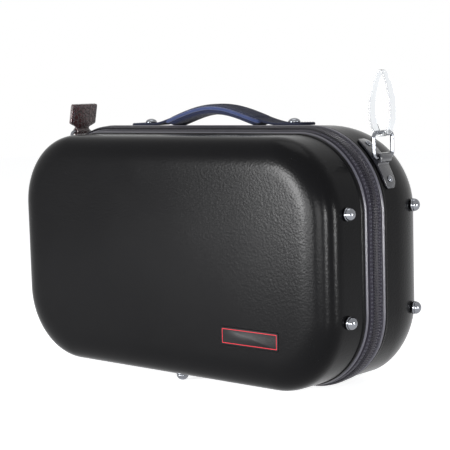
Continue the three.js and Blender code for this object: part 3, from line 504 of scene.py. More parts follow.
# The case's outline, seen from the front: a rectangle with round corners.
# Its length, height and depths come from the frame's two shells.
shell = {
    "cornerRadius": 60,
    "flare": 5.5,  # of the base past the lid, along the top and the ends
    "flareEnd": 0.6,  # share of the corner over which it grows
    "gap": 18,  # between the two rims, which the zip fills
    "wall": 2.5,
    "lidInset": 27,  # how far the rounded edge reaches in over the face
    "baseInset": 30,
    "lidEdge": 20,  # how far it reaches back along the sides
    "lidFullness": 0.8,  # 1 is a plain ellipse, and less keeps the face flat for longer
    "baseEdge": 50,
    "hingeEdge": 16,
    "beadProud": 0.8,
    # its section, in distance from the rim and height over the side
    "bead": [(0, 0.35), (0.12, 0.6), (0.4, 0.76), (0.8, 0.8), (2.1, 0.8), (2.6, 0.62), (2.9, 0.25), (3.1, 0)],
    "chamfer": 0.3,
    "flatRim": 3,  # width of the ring that keeps the face flat
    "edgeSteps": 22,
}
lidLow, lidHigh = [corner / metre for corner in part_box("lid_shell")]
baseLow, baseHigh = [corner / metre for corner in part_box("base_shell")]
middleX = (lidLow.x + lidHigh.x) / 2
middleZ = (lidLow.z + lidHigh.z) / 2
halfLength = (lidHigh.x - lidLow.x) / 2 - shell["beadProud"]
halfHeight = (lidHigh.z - lidLow.z) / 2 - shell["beadProud"]
halfZip = shell["gap"] / 2
zipY = lidHigh.y + halfZip
lidDepth = lidHigh.y - lidLow.y
baseDepth = baseHigh.y - baseLow.y
straightX = halfLength - shell["cornerRadius"]
straightZ = halfHeight - shell["cornerRadius"]
topOut = halfHeight + shell["flare"]


def atCase(x, v, z):
    # v is the distance behind the middle of the zip
    return Vector((middleX + x, zipY + v, middleZ + z)) * metre


def stopAt(x, z, angle):
    out = Vector((math.cos(angle), math.sin(angle)))
    return Vector((x, z)) + out * shell["cornerRadius"], out


def bottomStop(x):
    return Vector((x, -halfHeight)), Vector((0, -1))


def outlineStops(steps=26):
    stops = []
    for k, (right, up) in enumerate(quadrants):
        stops += [stopAt(right * straightX, up * straightZ, k * quarter + a) for a in quarterOf(steps)]
    return stops


def flareShare(out):
    return math.sqrt(min(max((1 + out.y) / shell["flareEnd"], 0), 1))


def onOutline(stop, v, u):
    # a point u outside the outline, which grows from the lid's to the base's across the zip
    spot, out = stop
    across = min(max(v + halfZip, 0), shell["gap"])
    flat = spot + out * (shell["flare"] * across / shell["gap"] * flareShare(out) + u)
    return atCase(flat.x, v, flat.y)


def outOfCase(stop):
    return Vector((stop[1].x, 0, stop[1].y))


def outOfBand(stop):
    slope = shell["flare"] / shell["gap"] * flareShare(stop[1])
    return Vector((stop[1].x, -slope, stop[1].y)).normalized()


def halfSizes(side, stop):
    # depth, inset and edge depth of the lid (side -1) or the base (side 1)
    if side < 0:
        return lidDepth, shell["lidInset"], shell["lidEdge"]
    edge = mixed(shell["hingeEdge"], shell["baseEdge"], flareShare(stop[1]))
    return baseDepth, shell["baseInset"], edge


def edgePoint(side, stop, angle, within=0.0, more=0.0):
    # angle runs from 0 on the side of the shell to a quarter turn on its face
    depth, inset, edge = halfSizes(side, stop)
    fullness = shell["lidFullness"] if side < 0 else 1
    reach = (inset - within) * (1 - math.cos(angle) ** fullness) + more
    back = (edge - within) * (1 - math.sin(angle) ** fullness)
    return onOutline(stop, side * (halfZip + depth - within - back), -within - reach)


def shellRows(side):
    # from the inside of the face out round the rim, with its bead, to the outside of the face
    stops = outlineStops()
    wall, flatRim, chamfer = shell["wall"], shell["flatRim"], shell["chamfer"]
    angles = quarterOf(shell["edgeSteps"])
    inner = [[edgePoint(side, stop, angle, wall) for stop in stops] for angle in angles[::2]]
    inner.append([edgePoint(side, stop, quarter, wall, flatRim) for stop in stops])
    rim = [(chamfer, -wall), (0, chamfer - wall)] + shell["bead"]
    across = [[onOutline(stop, side * (halfZip + v), u) for stop in stops] for v, u in rim]
    outer = [[edgePoint(side, stop, angle) for stop in stops] for angle in angles]
    outer.append([edgePoint(side, stop, quarter, 0, flatRim) for stop in stops])
    return inner[::-1] + across + outer


lidShell = addSkin("lidShell", shellRows(-1), "abs")
baseShell = addSkin("baseShell", shellRows(1), "abs")

# The badge: a bare plate sunk in the lid's face, with a thin line round its edge.
badge = {
    "fromMiddle": 94,
    "fromBottom": 41,
    "length": 57,
    "height": 14,
    "corner": 1.5,
    "leastCorner": 0.3,
    "thickness": 1.4,
    "proud": 0.5,
    "gap": 0.3,
    "bevel": 0.25,
    "lineInset": 1.3,
    "lineWidth": 0.5,
    "lineProud": 0.06,
    "lineSunk": 0.1,
    "cutOver": 2,  # how far the pocket's cutter stands out in front
}


def badgeRow(grow, v):
    corner = max(badge["corner"] + grow, badge["leastCorner"])
    outline = roundedBox(badge["length"] + 2 * grow, badge["height"] + 2 * grow, corner)
    x, z = badge["fromMiddle"], badge["fromBottom"] - halfHeight
    return [atCase(x + p.x, v, z + p.y) for p in outline]


plateFront = -halfZip - lidDepth - badge["proud"]
plateBack = plateFront + badge["thickness"]
pocketRows = [badgeRow(badge["gap"], v) for v in (plateFront - badge["cutOver"], plateBack + badge["gap"])]
carve(lidShell, addSkin("badgePocket", pocketRows, "abs"))
settle(lidShell, "lid", "abs_black", "lid_shell")
settle(baseShell, "base", "abs_black", "base_shell")
bevel = badge["bevel"]
plateRings = [badgeRow(0, plateBack), badgeRow(0, plateFront + bevel), badgeRow(-bevel, plateFront)]
badgePlate = addSkin("badgePlate", plateRings, "badge", sharp=50)
settle(badgePlate, "lid", "badge_plastic", "badge_plate")
outside = -badge["lineInset"]
inside = outside - badge["lineWidth"]
sunk, raised = plateFront + badge["lineSunk"], plateFront - badge["lineProud"]
section = ((outside, sunk), (outside, raised), (inside, raised), (inside, sunk))
lineRows = [badgeRow(grow, v) for grow, v in section]
settle(addSkin("badgeLine", lineRows, "redLine", joined=True), "lid", "badge_plastic")
print("shells and badge made")


# Feet: domed chrome rivets with a collar, set square to the curved shells.
foot = {
    "radius": 5.2,
    "height": 7,
    "collar": 2,
    "fromFace": 24,
    "endSpacing": 80,
    "baseSpacing": 200,
    "gap": 0.3,
}
bottomFeet = {"lid": {"bottom_foot": 0}, "base": {"bottom_foot_left": -0.5, "bottom_foot_right": 0.5}}


def endSeat(side, v, height):
    turn = math.asin(max(abs(height) - straightZ, 0) / shell["cornerRadius"])
    up = math.copysign(1, height)
    stop = stopAt(straightX, up * min(abs(height), straightZ), up * turn)
    depth, inset, edge = halfSizes(side, stop)
    into = max(side * v - halfZip - depth + edge, 0) / edge
    fall = math.sqrt(1 - into * into)
    lean = math.atan(inset * into / (edge * fall))
    out = outOfCase(stop) * math.cos(lean) + Vector((0, side * math.sin(lean), 0))
    return onOutline(stop, v, -inset * (1 - fall)), out


def footProfile():
    # from the flattened end of the shank, inside the shell, to the top of the dome
    r, low, collar = foot["radius"], foot["gap"], foot["gap"] + foot["collar"]
    shank = [(0, -6.2), (2.6, -6.2), (2.8, -5.9), (2.8, -5.3), (1.9, -5.3), (1.9, low), (r - 0.5, low)]
    side = [(r - 0.1, low + 0.35), (r, low + 0.8), (r, collar - 0.35), (r - 0.3, collar)]
    springs = collar + 0.15
    dome = arc(0, springs, r * 0.96, foot["height"] - springs, quarterOf(12)[:-1])
    return shank + side + dome + [(0, foot["height"])]


down = Vector((0, 0, -1))
oneFoot = addTurned("oneFoot", footProfile(), "chrome", 32)
for side, body in halves:
    v = side * (halfZip + (lidDepth if side < 0 else baseDepth) - foot["fromFace"])
    bottom = bottomFeet[body]
    seats = [(atCase(share * foot["baseSpacing"], v, -halfHeight), down) for share in bottom.values()]
    seats += [endSeat(side, v, up * foot["endSpacing"] / 2) for up in (1, -1)]
    names = [body + "_" + name for name in (*bottom, "end_foot_upper", "end_foot_lower")]
    settle(addCopies(body + "Feet", oneFoot, "chrome", seats), body, "chrome", *names)
remove(oneFoot)
for name, node in nodes.items():
    if name.endswith("_washer") or name == "handle_backing_plate":
        node.data.materials.clear()
        node.data.materials.append(finishes["zinc"])
print("feet set")


# Piping: a round welt along each rim.
piping = {"radius": 1, "proud": 0.3, "gap": 0.3, "sides": 12}
for side, body in halves:
    middle = side * (halfZip - piping["gap"] - piping["radius"])
    section = arc(middle, piping["proud"], piping["radius"], piping["radius"], turnsOf(piping["sides"]))
    rows = [[onOutline(stop, v, u) for v, u in section] for stop in outlineStops()]
    welt = addSkin(body + "Piping", rows, "piping", joined=True, sharp=80)
    settle(welt, body, "piping_vinyl", body + "_piping")
print("piping laid")


# The zip: woven tapes sewn inside the rims, with a nylon coil on each one's edge.
zipBand = {
    "endFromCorner": 6,  # how far the zip runs on along the hinge side
    "lapEnd": 13.7,  # the tape's sewn edge, from the middle of the zip
    "lapLevel": -3.4,  # of the lap's middle, inside the shells
    "foldAt": 5.9,  # beside the piping
    "foldRadius": 0.8,
    "tapeLevel": 0.87,
    "tapeThickness": 0.66,
    "tapeEdge": 1.25,
    "coilPitch": 2.05,
    "coilTip": 0.9,  # past the middle
    "coilRoot": 2.75,
    "coilHeight": 1.48,
    "wire": 0.36,  # radius
    "coilLevel": 1.22,
    "parted": 2.1,  # how far the wedges hold the coils apart between the sliders
    "partedFrom": 7,  # heights from the middle of the zip's end run
    "partedTo": 16,
    "stitchPitch": 3.2,
    "stitchRows": (3.5, 4.7),  # from the middle of the zip
}
# for each row of stitches, the share by which they differ in size, and the seed of that random draw
stitchDraws = {
    "lidZipStitches": (0.12, 3),
    "baseZipStitches": (0.12, 5),
    "lidHingeStitches": (0.12, 7),
    "baseHingeStitches": (0.12, 9),
    "gripStitches": (0.12, 17),
    "strapStitches": (0.1, 23),
    "tabStitches": (0.1, 31),
}


def zipStops():
    stops = outlineStops()
    corner = len(stops) // 4
    end = straightX - zipBand["endFromCorner"]
    return [bottomStop(end)] + stops[3 * corner:] + stops[:3 * corner] + [bottomStop(-end)]


def stopBetween(stop, later, share):
    return stop[0].lerp(later[0], share), stop[1].lerp(later[1], share).normalized()


def closeStops(stops, step=3.0):
    # the same run with more stops on its straight stretches
    close = [stops[0]]
    for stop, later in zip(stops, stops[1:]):
        parts = max(1, round((later[0] - stop[0]).length / step))
        close += [stopBetween(stop, later, i / parts) for i in range(1, parts + 1)]
    return close


def trimmed(stops, start, end):
    # the part of a run that lies between two distances along it
    kept = []
    run = 0.0
    for stop, later in zip(stops, stops[1:]):
        span = (later[0] - stop[0]).length
        for edge in (start, end):
            if run <= edge < run + span:
                kept.append(stopBetween(stop, later, (edge - run) / span))
        run += span
        if start < run < end:
            kept.append(later)
    return kept


def partedBy(stop):
    # how far a tape's edge and its coil stand back from the middle
    spot = stop[0]
    if spot.x > -straightX:
        return 0.0
    span = zipBand["partedTo"] - zipBand["partedFrom"]
    return zipBand["parted"] * eased((zipBand["partedTo"] - abs(spot.y)) / span)


def foldedSection(edge, level):
    # the middle line of a tape or hinge leaf, from its lap inside the shell to its outer edge
    fold, lap, radius = zipBand["foldAt"], zipBand["lapLevel"], zipBand["foldRadius"]
    inner = arc(fold + radius, lap + radius, -radius, -radius, [quarter - a for a in quarterOf(4)])
    outer = arc(fold - radius, level - radius, radius, radius, quarterOf(4))
    across = [(v, level) for v in stepsFrom(fold - radius, edge, 4)[1:]]
    return [(zipBand["lapEnd"], lap), (halfZip, lap)] + inner + outer + across


def thickened(line, thickness):
    # a closed ring round an open middle line
    over, under = [], []
    for i, point in enumerate(line):
        before = Vector(line[max(i - 1, 0)])
        after = Vector(line[min(i + 1, len(line) - 1)])
        along = (after - before).normalized()
        side = Vector((-along.y, along.x)) * thickness / 2
        over.append(Vector(point) + side)
        under.append(Vector(point) - side)
    return over + under[::-1]


run = closeStops(zipStops())
wholeRun = sum((b[0] - a[0]).length for a, b in zip(run, run[1:]))
turnCount = int(wholeRun / zipBand["coilPitch"])
coilPitch = wholeRun / turnCount
halfTurn = coilPitch / 2
root, tip, wire = zipBand["coilRoot"], -zipBand["coilTip"], zipBand["wire"]
# one leg of a turn, from the tape's edge to the tip, and the other leg as its mirror image
leg = [
    (-halfTurn, root, zipBand["coilHeight"] / 2),
    (-0.86 * halfTurn, root - 0.3, wire + 0.05),
    (-0.3, 1.2, wire),
    (0, tip + 0.6, wire),
    (0, tip + 0.1, 0.5),
]
hairpin = leg + [(-x, y, zipBand["coilHeight"] - z) for x, y, z in leg[::-1]]
oneTurn = addSkin("oneTurn", tubeRows([Vector(p) * metre for p in hairpin], wire, 6), "coil", capped=False)
stitchProfile = [(0, -0.95), (0.16, -0.8), (0.24, -0.4), (0.24, 0.4), (0.16, 0.8), (0, 0.95)]
oneStitch = addTurned("oneStitch", stitchProfile, "thread", 6)
oneStitch.data.transform(Matrix.Rotation(quarter, 4, "Y"))


def addStitches(name, paths, pitch, body, slot, finish="thread"):
    settle(addCopies(name, oneStitch, finish, paths, pitch, *stitchDraws[name]), body, slot)


def pathOn(stops, side, v, u):
    return [(onOutline(stop, side * (v + partedBy(stop)), u), outOfBand(stop)) for stop in stops]


for side, body in halves:
    rows = []
    for stop in run:
        line = foldedSection(zipBand["tapeEdge"] + partedBy(stop), zipBand["tapeLevel"])
        rows.append([onOutline(stop, side * p.x, p.y) for p in thickened(line, zipBand["tapeThickness"])])
    tape = addSkin(body + "ZipTape", rows, "tape", sharp=60)
    settle(tape, body, "tape_fabric", body + "_zip_tape")
    # the base's coil runs the other way, half a turn on, so that its turns stand between the lid's
    coilStops = run if side < 0 else trimmed(run, halfTurn, wholeRun - halfTurn)[::-1]
    coilPath = pathOn(coilStops, side, 0, zipBand["coilLevel"])
    coil = addCopies(body + "ZipCoil", oneTurn, "coil", [coilPath], coilPitch)
    settle(coil, body, "coil_nylon", body + "_zip_teeth")
    level = zipBand["tapeLevel"] + zipBand["tapeThickness"] / 2
    sewn = [pathOn(run, side, v, level) for v in zipBand["stitchRows"]]
    addStitches(body + "ZipStitches", sewn, zipBand["stitchPitch"], body, "tape_fabric")
remove(oneTurn)
print("zip made:", turnCount, "turns a side")


# The hinge: one strip of the same cloth from lid to base along the lower side, where the real one folds as
# the lid opens; here it is one fixed piece in its closed shape.
hinge = {"thickness": 1.1, "level": 1.25, "endGap": 0.3, "fold": 5, "steps": 40, "seamAt": 5.05, "seamEnd": 2}
hingeHalf = straightX - zipBand["endFromCorner"] - hinge["endGap"]
lidLeaf = foldedSection(0, hinge["level"])
hingeRing = thickened([(-v, u) for v, u in lidLeaf] + lidLeaf[-2::-1], hinge["thickness"])
hingeStops = [bottomStop(x) for x in stepsFrom(hingeHalf, -hingeHalf, hinge["steps"])]
hingeRows = [[onOutline(stop, p.x, p.y) for p in hingeRing] for stop in hingeStops]
hingeStrip = addSkin("hingeStrip", hingeRows, "tape", sharp=60)
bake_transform(hingeStrip)
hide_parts("lid_hinge_fabric", "base_hinge_fabric")
seamHalf = hingeHalf - hinge["seamEnd"]
level = hinge["level"] + hinge["thickness"] / 2
stops = [bottomStop(x) for x in (seamHalf, 0, -seamHalf)]
for side, body in halves:
    seamPath = [(onOutline(stop, side * hinge["seamAt"], level), outOfCase(stop)) for stop in stops]
    addStitches(body + "HingeStitches", [seamPath], zipBand["stitchPitch"], body, "tape_fabric")
print("hinge strip made")


# The handle: a riveted webbing strap with a padded cloth grip, whose long edges are bound.
handle = {
    "fromRim": 15,  # of the base shell
    "gap": 0.3,
    "rivetSpacing": 160,
    "strapWidth": 20,
    "strapThickness": 2,
    "strapCorner": 0.7,
    "strapEnd": 16,
    "endLength": 4,  # over which the strap's ends narrow
    "endNarrow": 0.35,
    "strapSteps": 96,
    "rise": 15,
    "archShare": 0.8,
    "gripLength": 104,
    "gripWidth": 25,
    "gripEnd": 12,  # length over which the grip's ends are rounded in
    "gripEndIn": 3.2,
    "gripDrop": 1.4,  # of the pad's middle below the strap's
    "gripCrown": 2.2,  # of the upper face over the pad's edge
    "gripBelly": 4.6,  # of the lower face
    "gripEdge": 1.1,
    "gripEndThin": 0.35,  # share of its thickness that is left at the very ends
    "gripPuff": 3,  # how fast it fills out from its ends
    "gripSteep": 6,  # how steeply it rises from its edges
    "gripSquare": (0.7, 0.8),  # across and over: an ellipse has 1, and a fuller section has less
    "gripSteps": 60,
    "gripSides": 28,
    "bindingRadius": 1.5,
    "bindingSteps": 80,
    "bindingThin": 6,  # steps at each end over which it thins
    "bindingEnd": 0.08,
    "sewnShare": 0.92,  # of the grip's length
    "rivetRadius": 5,
    "rivetHeight": 3.4,
    "rivetShank": 1.9,
    "rivetTail": -4.6,
    "stitchPitch": 3.4,
    "boxPitch": 2.6,
    "boxBefore": 9,  # from the rivet towards the grip
    "boxEndIn": 3,
    "boxSideIn": 2.4,
}
handleV = halfZip + handle["fromRim"]
strapLevel = topOut + handle["gap"]
archHalf = (handle["rivetSpacing"] - handle["strapWidth"]) / 2
strapHalf = handle["rivetSpacing"] / 2 + handle["strapEnd"]


def archAt(x):
    # the height of the strap's underside, and the slope there
    def level(place):
        share = min(abs(place) / archHalf, 1)
        return handle["rise"] * ((1 + math.cos(math.pi * share)) / 2) ** handle["archShare"]
    return strapLevel + level(x), level(x + 0.5) - level(x - 0.5)


def onHandle(x, across, over):
    # a point over the strap's underside, square to the arch
    level, slope = archAt(x)
    square = Vector((-slope, 1)).normalized()
    return atCase(x + square.x * over, handleV + across, level + square.y * over)


def overHandle(x):
    return Vector((-archAt(x)[1], 0, 1)).normalized()


strapRows = []
for x in stepsFrom(-strapHalf, strapHalf, handle["strapSteps"]):
    nearEnd = max(0, 1 - (strapHalf - abs(x)) / handle["endLength"])
    halfWidth = handle["strapWidth"] / 2 * (1 - handle["endNarrow"] * nearEnd ** 2)
    section = roundedSection(halfWidth, 0, handle["strapThickness"], handle["strapCorner"])
    strapRows.append([onHandle(x, w, h) for w, h in section])
settle(addSkin("handleStrap", strapRows, "webbing", sharp=60), "base", "webbing", "handle_strap")

gripHalf = handle["gripLength"] / 2
gripMiddle = handle["strapThickness"] / 2 - handle["gripDrop"]
bindingRadius = handle["bindingRadius"]


def gripWidthAt(x):
    # the pad's half width, rounded in at its two ends
    share = max(0, (abs(x) - gripHalf + handle["gripEnd"]) / handle["gripEnd"])
    roundedIn = handle["gripEndIn"] * (1 - math.sqrt(max(1 - share * share, 0)))
    return handle["gripWidth"] / 2 - bindingRadius * 0.8 - roundedIn


def alongGrip(steps):
    # places that lie closer together towards the ends
    return [gripHalf * math.sin(math.pi * (i / steps - 0.5)) for i in range(steps + 1)]


gripRows = []
squareAcross, squareOver = handle["gripSquare"]
for x in alongGrip(handle["gripSteps"]):
    puff = min(1, handle["gripPuff"] * math.sqrt(max(gripHalf - abs(x), 0) / gripHalf))
    thickness = mixed(handle["gripEndThin"], 1, puff)
    row = []
    for angle in turnsOf(handle["gripSides"]):
        cosine, sine = math.cos(angle), math.sin(angle)
        across = gripWidthAt(x) * math.copysign(abs(cosine) ** squareAcross, cosine)
        fullness = handle["gripCrown"] if angle < math.pi else handle["gripBelly"]
        crown = (handle["gripEdge"] + fullness * abs(sine) ** squareOver * puff) * thickness
        rise = math.copysign(crown, sine) * min(1, abs(sine) * handle["gripSteep"])
        row.append(onHandle(x, across, gripMiddle + rise))
    gripRows.append(row)
handleGrip = addSkin("handleGrip", gripRows, "grip", sharp=75)
settle(handleGrip, "base", "grip_vinyl", "handle_grip")

bindings = []
bindingPaths = []
bindingSteps = handle["bindingSteps"]
sewnHalf = handle["sewnShare"] * gripHalf
for side in (-1, 1):
    path = [onHandle(x, side * gripWidthAt(x), gripMiddle) for x in alongGrip(bindingSteps)]
    rows = []
    for i, row in enumerate(tubeRows(path, 1, 14)):
        fromEnd = min(i, bindingSteps - i) / handle["bindingThin"]
        size = math.sqrt(min(1, handle["bindingEnd"] + fromEnd)) * bindingRadius
        rows.append([path[i] + (point - path[i]) * size for point in row])
    bindings.append(addSkin("binding", rows, "binding", sharp=75))
    sewn = []
    for x in stepsFrom(-sewnHalf, sewnHalf, 40):
        across = side * (gripWidthAt(x) - bindingRadius * 0.11)
        sewn.append((onHandle(x, across, gripMiddle + bindingRadius * 0.97), overHandle(x)))
    bindingPaths.append(sewn)
settle(joinObjects("gripBinding", bindings), "base", "grip_vinyl")
addStitches("gripStitches", bindingPaths, handle["stitchPitch"], "base", "grip_vinyl")
# a box of stitches holds each end of the strap down round its rivet
boxes = []
low, high = handle["rivetSpacing"] / 2 - handle["boxBefore"], strapHalf - handle["boxEndIn"]
wide = handle["strapWidth"] / 2 - handle["boxSideIn"]
corners = [Vector(corner) for corner in ((low, -wide), (high, -wide), (high, wide), (low, wide))]
for end in (-1, 1):
    for a, b in zip(corners, corners[1:] + corners[:1]):
        spots = [onHandle(end * p.x, p.y, handle["strapThickness"] + 0.05) for p in stepsFrom(a, b, 6)]
        boxes.append([(spot, overHandle(end * a.x)) for spot in spots])
addStitches("strapStitches", boxes, handle["boxPitch"], "base", "webbing", "binding")


def rivetProfile(sizes, level):
    radius, height, shank, tail = [sizes["rivet" + part] for part in ("Radius", "Height", "Shank", "Tail")]
    clinched = shank + 0.9
    start = [(0, tail - 0.9), (clinched, tail - 0.9), (clinched, tail), (shank, tail), (shank, level)]
    dome = arc(0, level + 0.25, radius, height - 0.25, quarterOf(9)[:-1])
    return start + [(radius - 0.15, level)] + dome + [(0, level + height)]


headLevel = 2 * handle["gap"] + handle["strapThickness"]
oneRivet = addTurned("oneRivet", rivetProfile(handle, headLevel), "chrome", 32)
upward = Vector((0, 0, 1))
rivetSeats = [(atCase(end * handle["rivetSpacing"] / 2, handleV, topOut), upward) for end in (-1, 1)]
handleRivets = addCopies("handleRivets", oneRivet, "chrome", rivetSeats)
settle(handleRivets, "base", "chrome", "handle_rivet_left", "handle_rivet_right")
remove(oneRivet)
print("handle made")


# Strap lugs: a moulded saddle bent round each upper corner of the base, with a barrel that carries the ring.
lug = {
    "fromRim": 12,
    "middleAngle": 36,  # degrees up the corner
    "halfSpan": 20,
    "width": 14,
    "thickness": 2.4,
    "fillet": 1.6,
    "endShare": 0.55,
    "edgeRadius": 0.55,
    "sharp": 42,  # degrees
    "endThin": 0.9,  # how much thinner its ends are
    "barrelRadius": 3.4,
    "barrelRise": 5.4,
    "bore": 1.9,
    "rivetAngle": 14,
    "rivetRadius": 2.6,
    "rivetHeight": 1.3,
    "rivetShank": 1.2,
    "rivetTail": -3.2,
    "gap": 0.3,
}
lugV = halfZip + lug["fromRim"]
lugRound = shell["cornerRadius"] + shell["flare"]
lugReach = math.radians(lug["halfSpan"]) * lugRound


def lugPlace(end, degrees, across=0.0, over=0.0):
    angle = math.radians(degrees if end > 0 else 180 - degrees)
    stop = stopAt(end * straightX, straightZ, angle)
    return onOutline(stop, lugV + across, over), outOfCase(stop)


def lugOutline():
    # distance from the barrel's middle round the corner, and the height of the saddle there
    r, rise, flat, fillet = lug["barrelRadius"], lug["barrelRise"], lug["thickness"], lug["fillet"]
    # places from its end inwards, where the first three lie on its thinned part
    band = [(1 - 0.82 * (i / 12) ** 0.8, max(0, 1 - i / 3) ** 2) for i in range(13)]
    band = [(lugReach * share, flat - lug["endThin"] * thin) for share, thin in band]
    band = [point for point in band if point[0] > r + 2]
    foot = arc(r + fillet + 0.25, flat + fillet, -fillet, -fillet, [quarter - a for a in quarterOf(4)])
    barrel = arc(0.01, rise, r, r, quarterOf(8)[:-1])
    half = band + foot + barrel
    return half + [(0, rise + r)] + [(-d, level) for d, level in half[::-1]]


def barrelAxis(end):
    return lugPlace(end, lug["middleAngle"], 0, lug["barrelRise"])[0]


def lugBody(end, name):
    rows = []
    for distance, top in lugOutline():
        share = abs(distance) / lugReach
        wide = mixed(lug["endShare"], 1, math.sqrt(max(1 - share ** 4, 0))) * lug["width"] / 2
        degrees = lug["middleAngle"] + math.degrees(distance / lugRound)
        section = roundedSection(wide, lug["gap"], top, lug["edgeRadius"], 3)
        rows.append([lugPlace(end, degrees, w, h)[0] for w, h in section])
    body = addSkin(name, rows, "smoke", sharp=lug["sharp"])
    bore = [barrelAxis(end) + Vector((0, side * (lug["width"] / 2 + 3) * metre, 0)) for side in (-1, 1)]
    return carve(body, addSkin("bore", tubeRows(bore, lug["bore"], 24), "smoke"), lug["sharp"])


oneLugRivet = addTurned("oneLugRivet", rivetProfile(lug, lug["thickness"] + lug["gap"]), "chrome", 24)
for end, side in ends:
    settle(lugBody(end, side + "StrapLug"), "base", "smoke_plastic", "strap_lug_" + side)
    seats = [lugPlace(end, lug["middleAngle"] + turn * lug["rivetAngle"]) for turn in (-1, 1)]
    rivets = ["strap_lug_rivet_" + side + "_" + place for place in ("lower", "upper")]
    settle(addCopies(side + "LugRivets", oneLugRivet, "chrome", seats), "base", "chrome", *rivets)
remove(oneLugRivet)
print("strap lugs made")


# Rings: a round wire bent to a rectangle, standing in the lug's barrel.
ring = {"wire": 1.5, "innerWidth": 21, "height": 19, "corner": 4}
for end, side in ends:
    flat = roundedBox(ring["innerWidth"] + 2 * ring["wire"], ring["height"], ring["corner"], 9)
    path = [barrelAxis(end) + Vector((0, p.x, p.y + ring["height"] / 2)) * metre for p in flat]
    bent = addSkin(side + "Ring", tubeRows(path, ring["wire"], 18, True), "chrome", joined=True, sharp=80)
    settle(bent, "ring_" + side, "chrome", "ring_" + side)

# The clear loop hangs on the right ring's top wire: a flame-shaped band of soft vinyl, welded at its foot.
loop = {
    "width": 9,
    "thickness": 1.5,
    "span": 20,
    "height": 47,
    "bulge": 0.22,
    "topIn": 0.3,  # share by which the flame narrows at its top
    "topSlim": 0.28,  # share by which the band does
    "edgeRadius": 0.6,
    "gap": 0.3,
    "steps": 72,
}
loopFoot = barrelAxis(1) + Vector((0, 0, ring["height"] - ring["wire"] - loop["gap"])) * metre
line = []
for turn in turnsOf(loop["steps"]):
    rise = (1 - math.cos(turn)) / 2
    wide = math.sin(turn) * (1 + loop["bulge"] * math.cos(turn)) * (1 - loop["topIn"] * rise ** 4)
    line.append(Vector((wide * (loop["span"] / 2 - loop["thickness"]), rise * loop["height"])))
rows = []
for i, p in enumerate(line):
    along = (line[(i + 1) % len(line)] - line[i - 1]).normalized()
    over = Vector((along.y, -along.x))
    slim = loop["width"] / 2 * (1 - loop["topSlim"] * (p.y / loop["height"]) ** 2)
    flat = roundedSection(slim, 0, loop["thickness"], loop["edgeRadius"], 3)
    section = [(w, p + over * h) for w, h in flat]
    rows.append([loopFoot + Vector((spot.x, w, spot.y)) * metre for w, spot in section])
clearLoop = addSkin("clearLoop", rows, "clear", joined=True, sharp=60)
settle(clearLoop, "clear_loop", "clear_vinyl", "clear_loop")

# The leather tab is folded round the left ring's top wire, and its two plies are sewn flat.
tab = {
    "neck": 15,
    "width": 30,
    "ply": 1.55,
    "height": 25,
    "shoulder": 8,
    "flare": 4.5,  # height over which the neck widens
    "lean": 12,  # degrees
    "gap": 0.3,
    "edgeRadius": 0.5,
    "cornersIn": (0.9, 0.25),  # how much narrower its last two rows are
    "seamUp": 1.2,  # from the shoulder
    "stitchIn": 2.2,
    "stitchPitch": 2.7,
}
tabAxis = barrelAxis(-1) + Vector((0, 0, ring["height"])) * metre
lean = Matrix.Rotation(math.radians(tab["lean"]), 3, "Y")
ply = tab["ply"]
bend = ring["wire"] + tab["gap"] + ply / 2
meet = math.asin(ply / 2 / bend)


def tabHalfWidth(height):
    grown = eased((height - tab["shoulder"] + tab["flare"]) / tab["flare"])
    return mixed(tab["neck"], tab["width"], grown) / 2


def onTab(x, across, height):
    return tabAxis + lean @ Vector((x, across, height)) * metre


heights = stepsFrom(tab["height"], bend * math.cos(meet), 26)
turns = [quarter + meet + 2 * (math.pi - meet) * i / 28 for i in range(1, 28)]
plies = [[(-ply / 2, z) for z in heights], [(ply / 2, z) for z in heights[::-1]]]
plyLine = [Vector(p) for p in plies[0] + arc(0, 0, bend, bend, turns) + plies[1]]
rows = []
for i, p in enumerate(plyLine):
    along = (plyLine[min(i + 1, len(plyLine) - 1)] - plyLine[max(i - 1, 0)]).normalized()
    over = Vector((-along.y, along.x))
    fromEnd = min(i, len(plyLine) - 1 - i)
    cornerIn = tab["cornersIn"][fromEnd] if fromEnd < len(tab["cornersIn"]) else 0
    section = roundedSection(tabHalfWidth(p.y) - cornerIn, -ply / 2, ply / 2, tab["edgeRadius"], 3)
    rows.append([onTab(p.x + over.x * h, w, p.y + over.y * h) for w, h in section])
leatherTab = addSkin("leatherTab", rows, "leather", sharp=60)
settle(leatherTab, "leather_tab", "leather", "leather_tab")
seams = []
edge = tab["width"] / 2 - tab["stitchIn"]
low, high = tab["shoulder"] + tab["seamUp"], tab["height"] - tab["stitchIn"]
corners = [Vector(corner) for corner in ((-edge, low), (-edge, high), (edge, high), (edge, low))]
for face in (-1, 1):
    out = lean @ Vector((face, 0, 0))
    for a, b in zip(corners, corners[1:]):
        seams.append([(onTab(face * (ply + 0.05), p.x, p.y), out) for p in stepsFrom(a, b, 8)])
addStitches("tabStitches", seams, tab["stitchPitch"], "leather_tab", "leather")
remove(oneStitch)
print("rings, loop and tab made")


# The two zip sliders stand nose to nose on the left end, tilted as the zip is there.
slider = {
    "length": 14,
    "width": 9.4,
    "tail": 7.3,
    "plate": 1.6,
    "plateLow": 3.0,  # of the outer plate, over the shell's outline
    "innerTop": 0.2,
    "pitch": 25,
    "bailSpan": 8,
    "bailRise": 4.2,
    "bailWire": 0.75,
    "wedge": 2,
    "wedgeLength": 5,
    "wedgeFromNose": 1.6,
    "lipRadius": 0.42,
    "lipIn": 0.45,
    "overlap": 0.3,  # of pieces that are cast as one
}
tilt = math.atan(shell["flare"] / shell["gap"])
endOut = halfLength + shell["flare"] / 2
sliderSharp = 30  # degrees


def onSlider(across, along, over):
    # a point on the left end: across the zip, up along it and out from it
    x = -over * math.cos(tilt) - across * math.sin(tilt)
    v = -over * math.sin(tilt) + across * math.cos(tilt)
    return atCase(x - endOut, v, along)


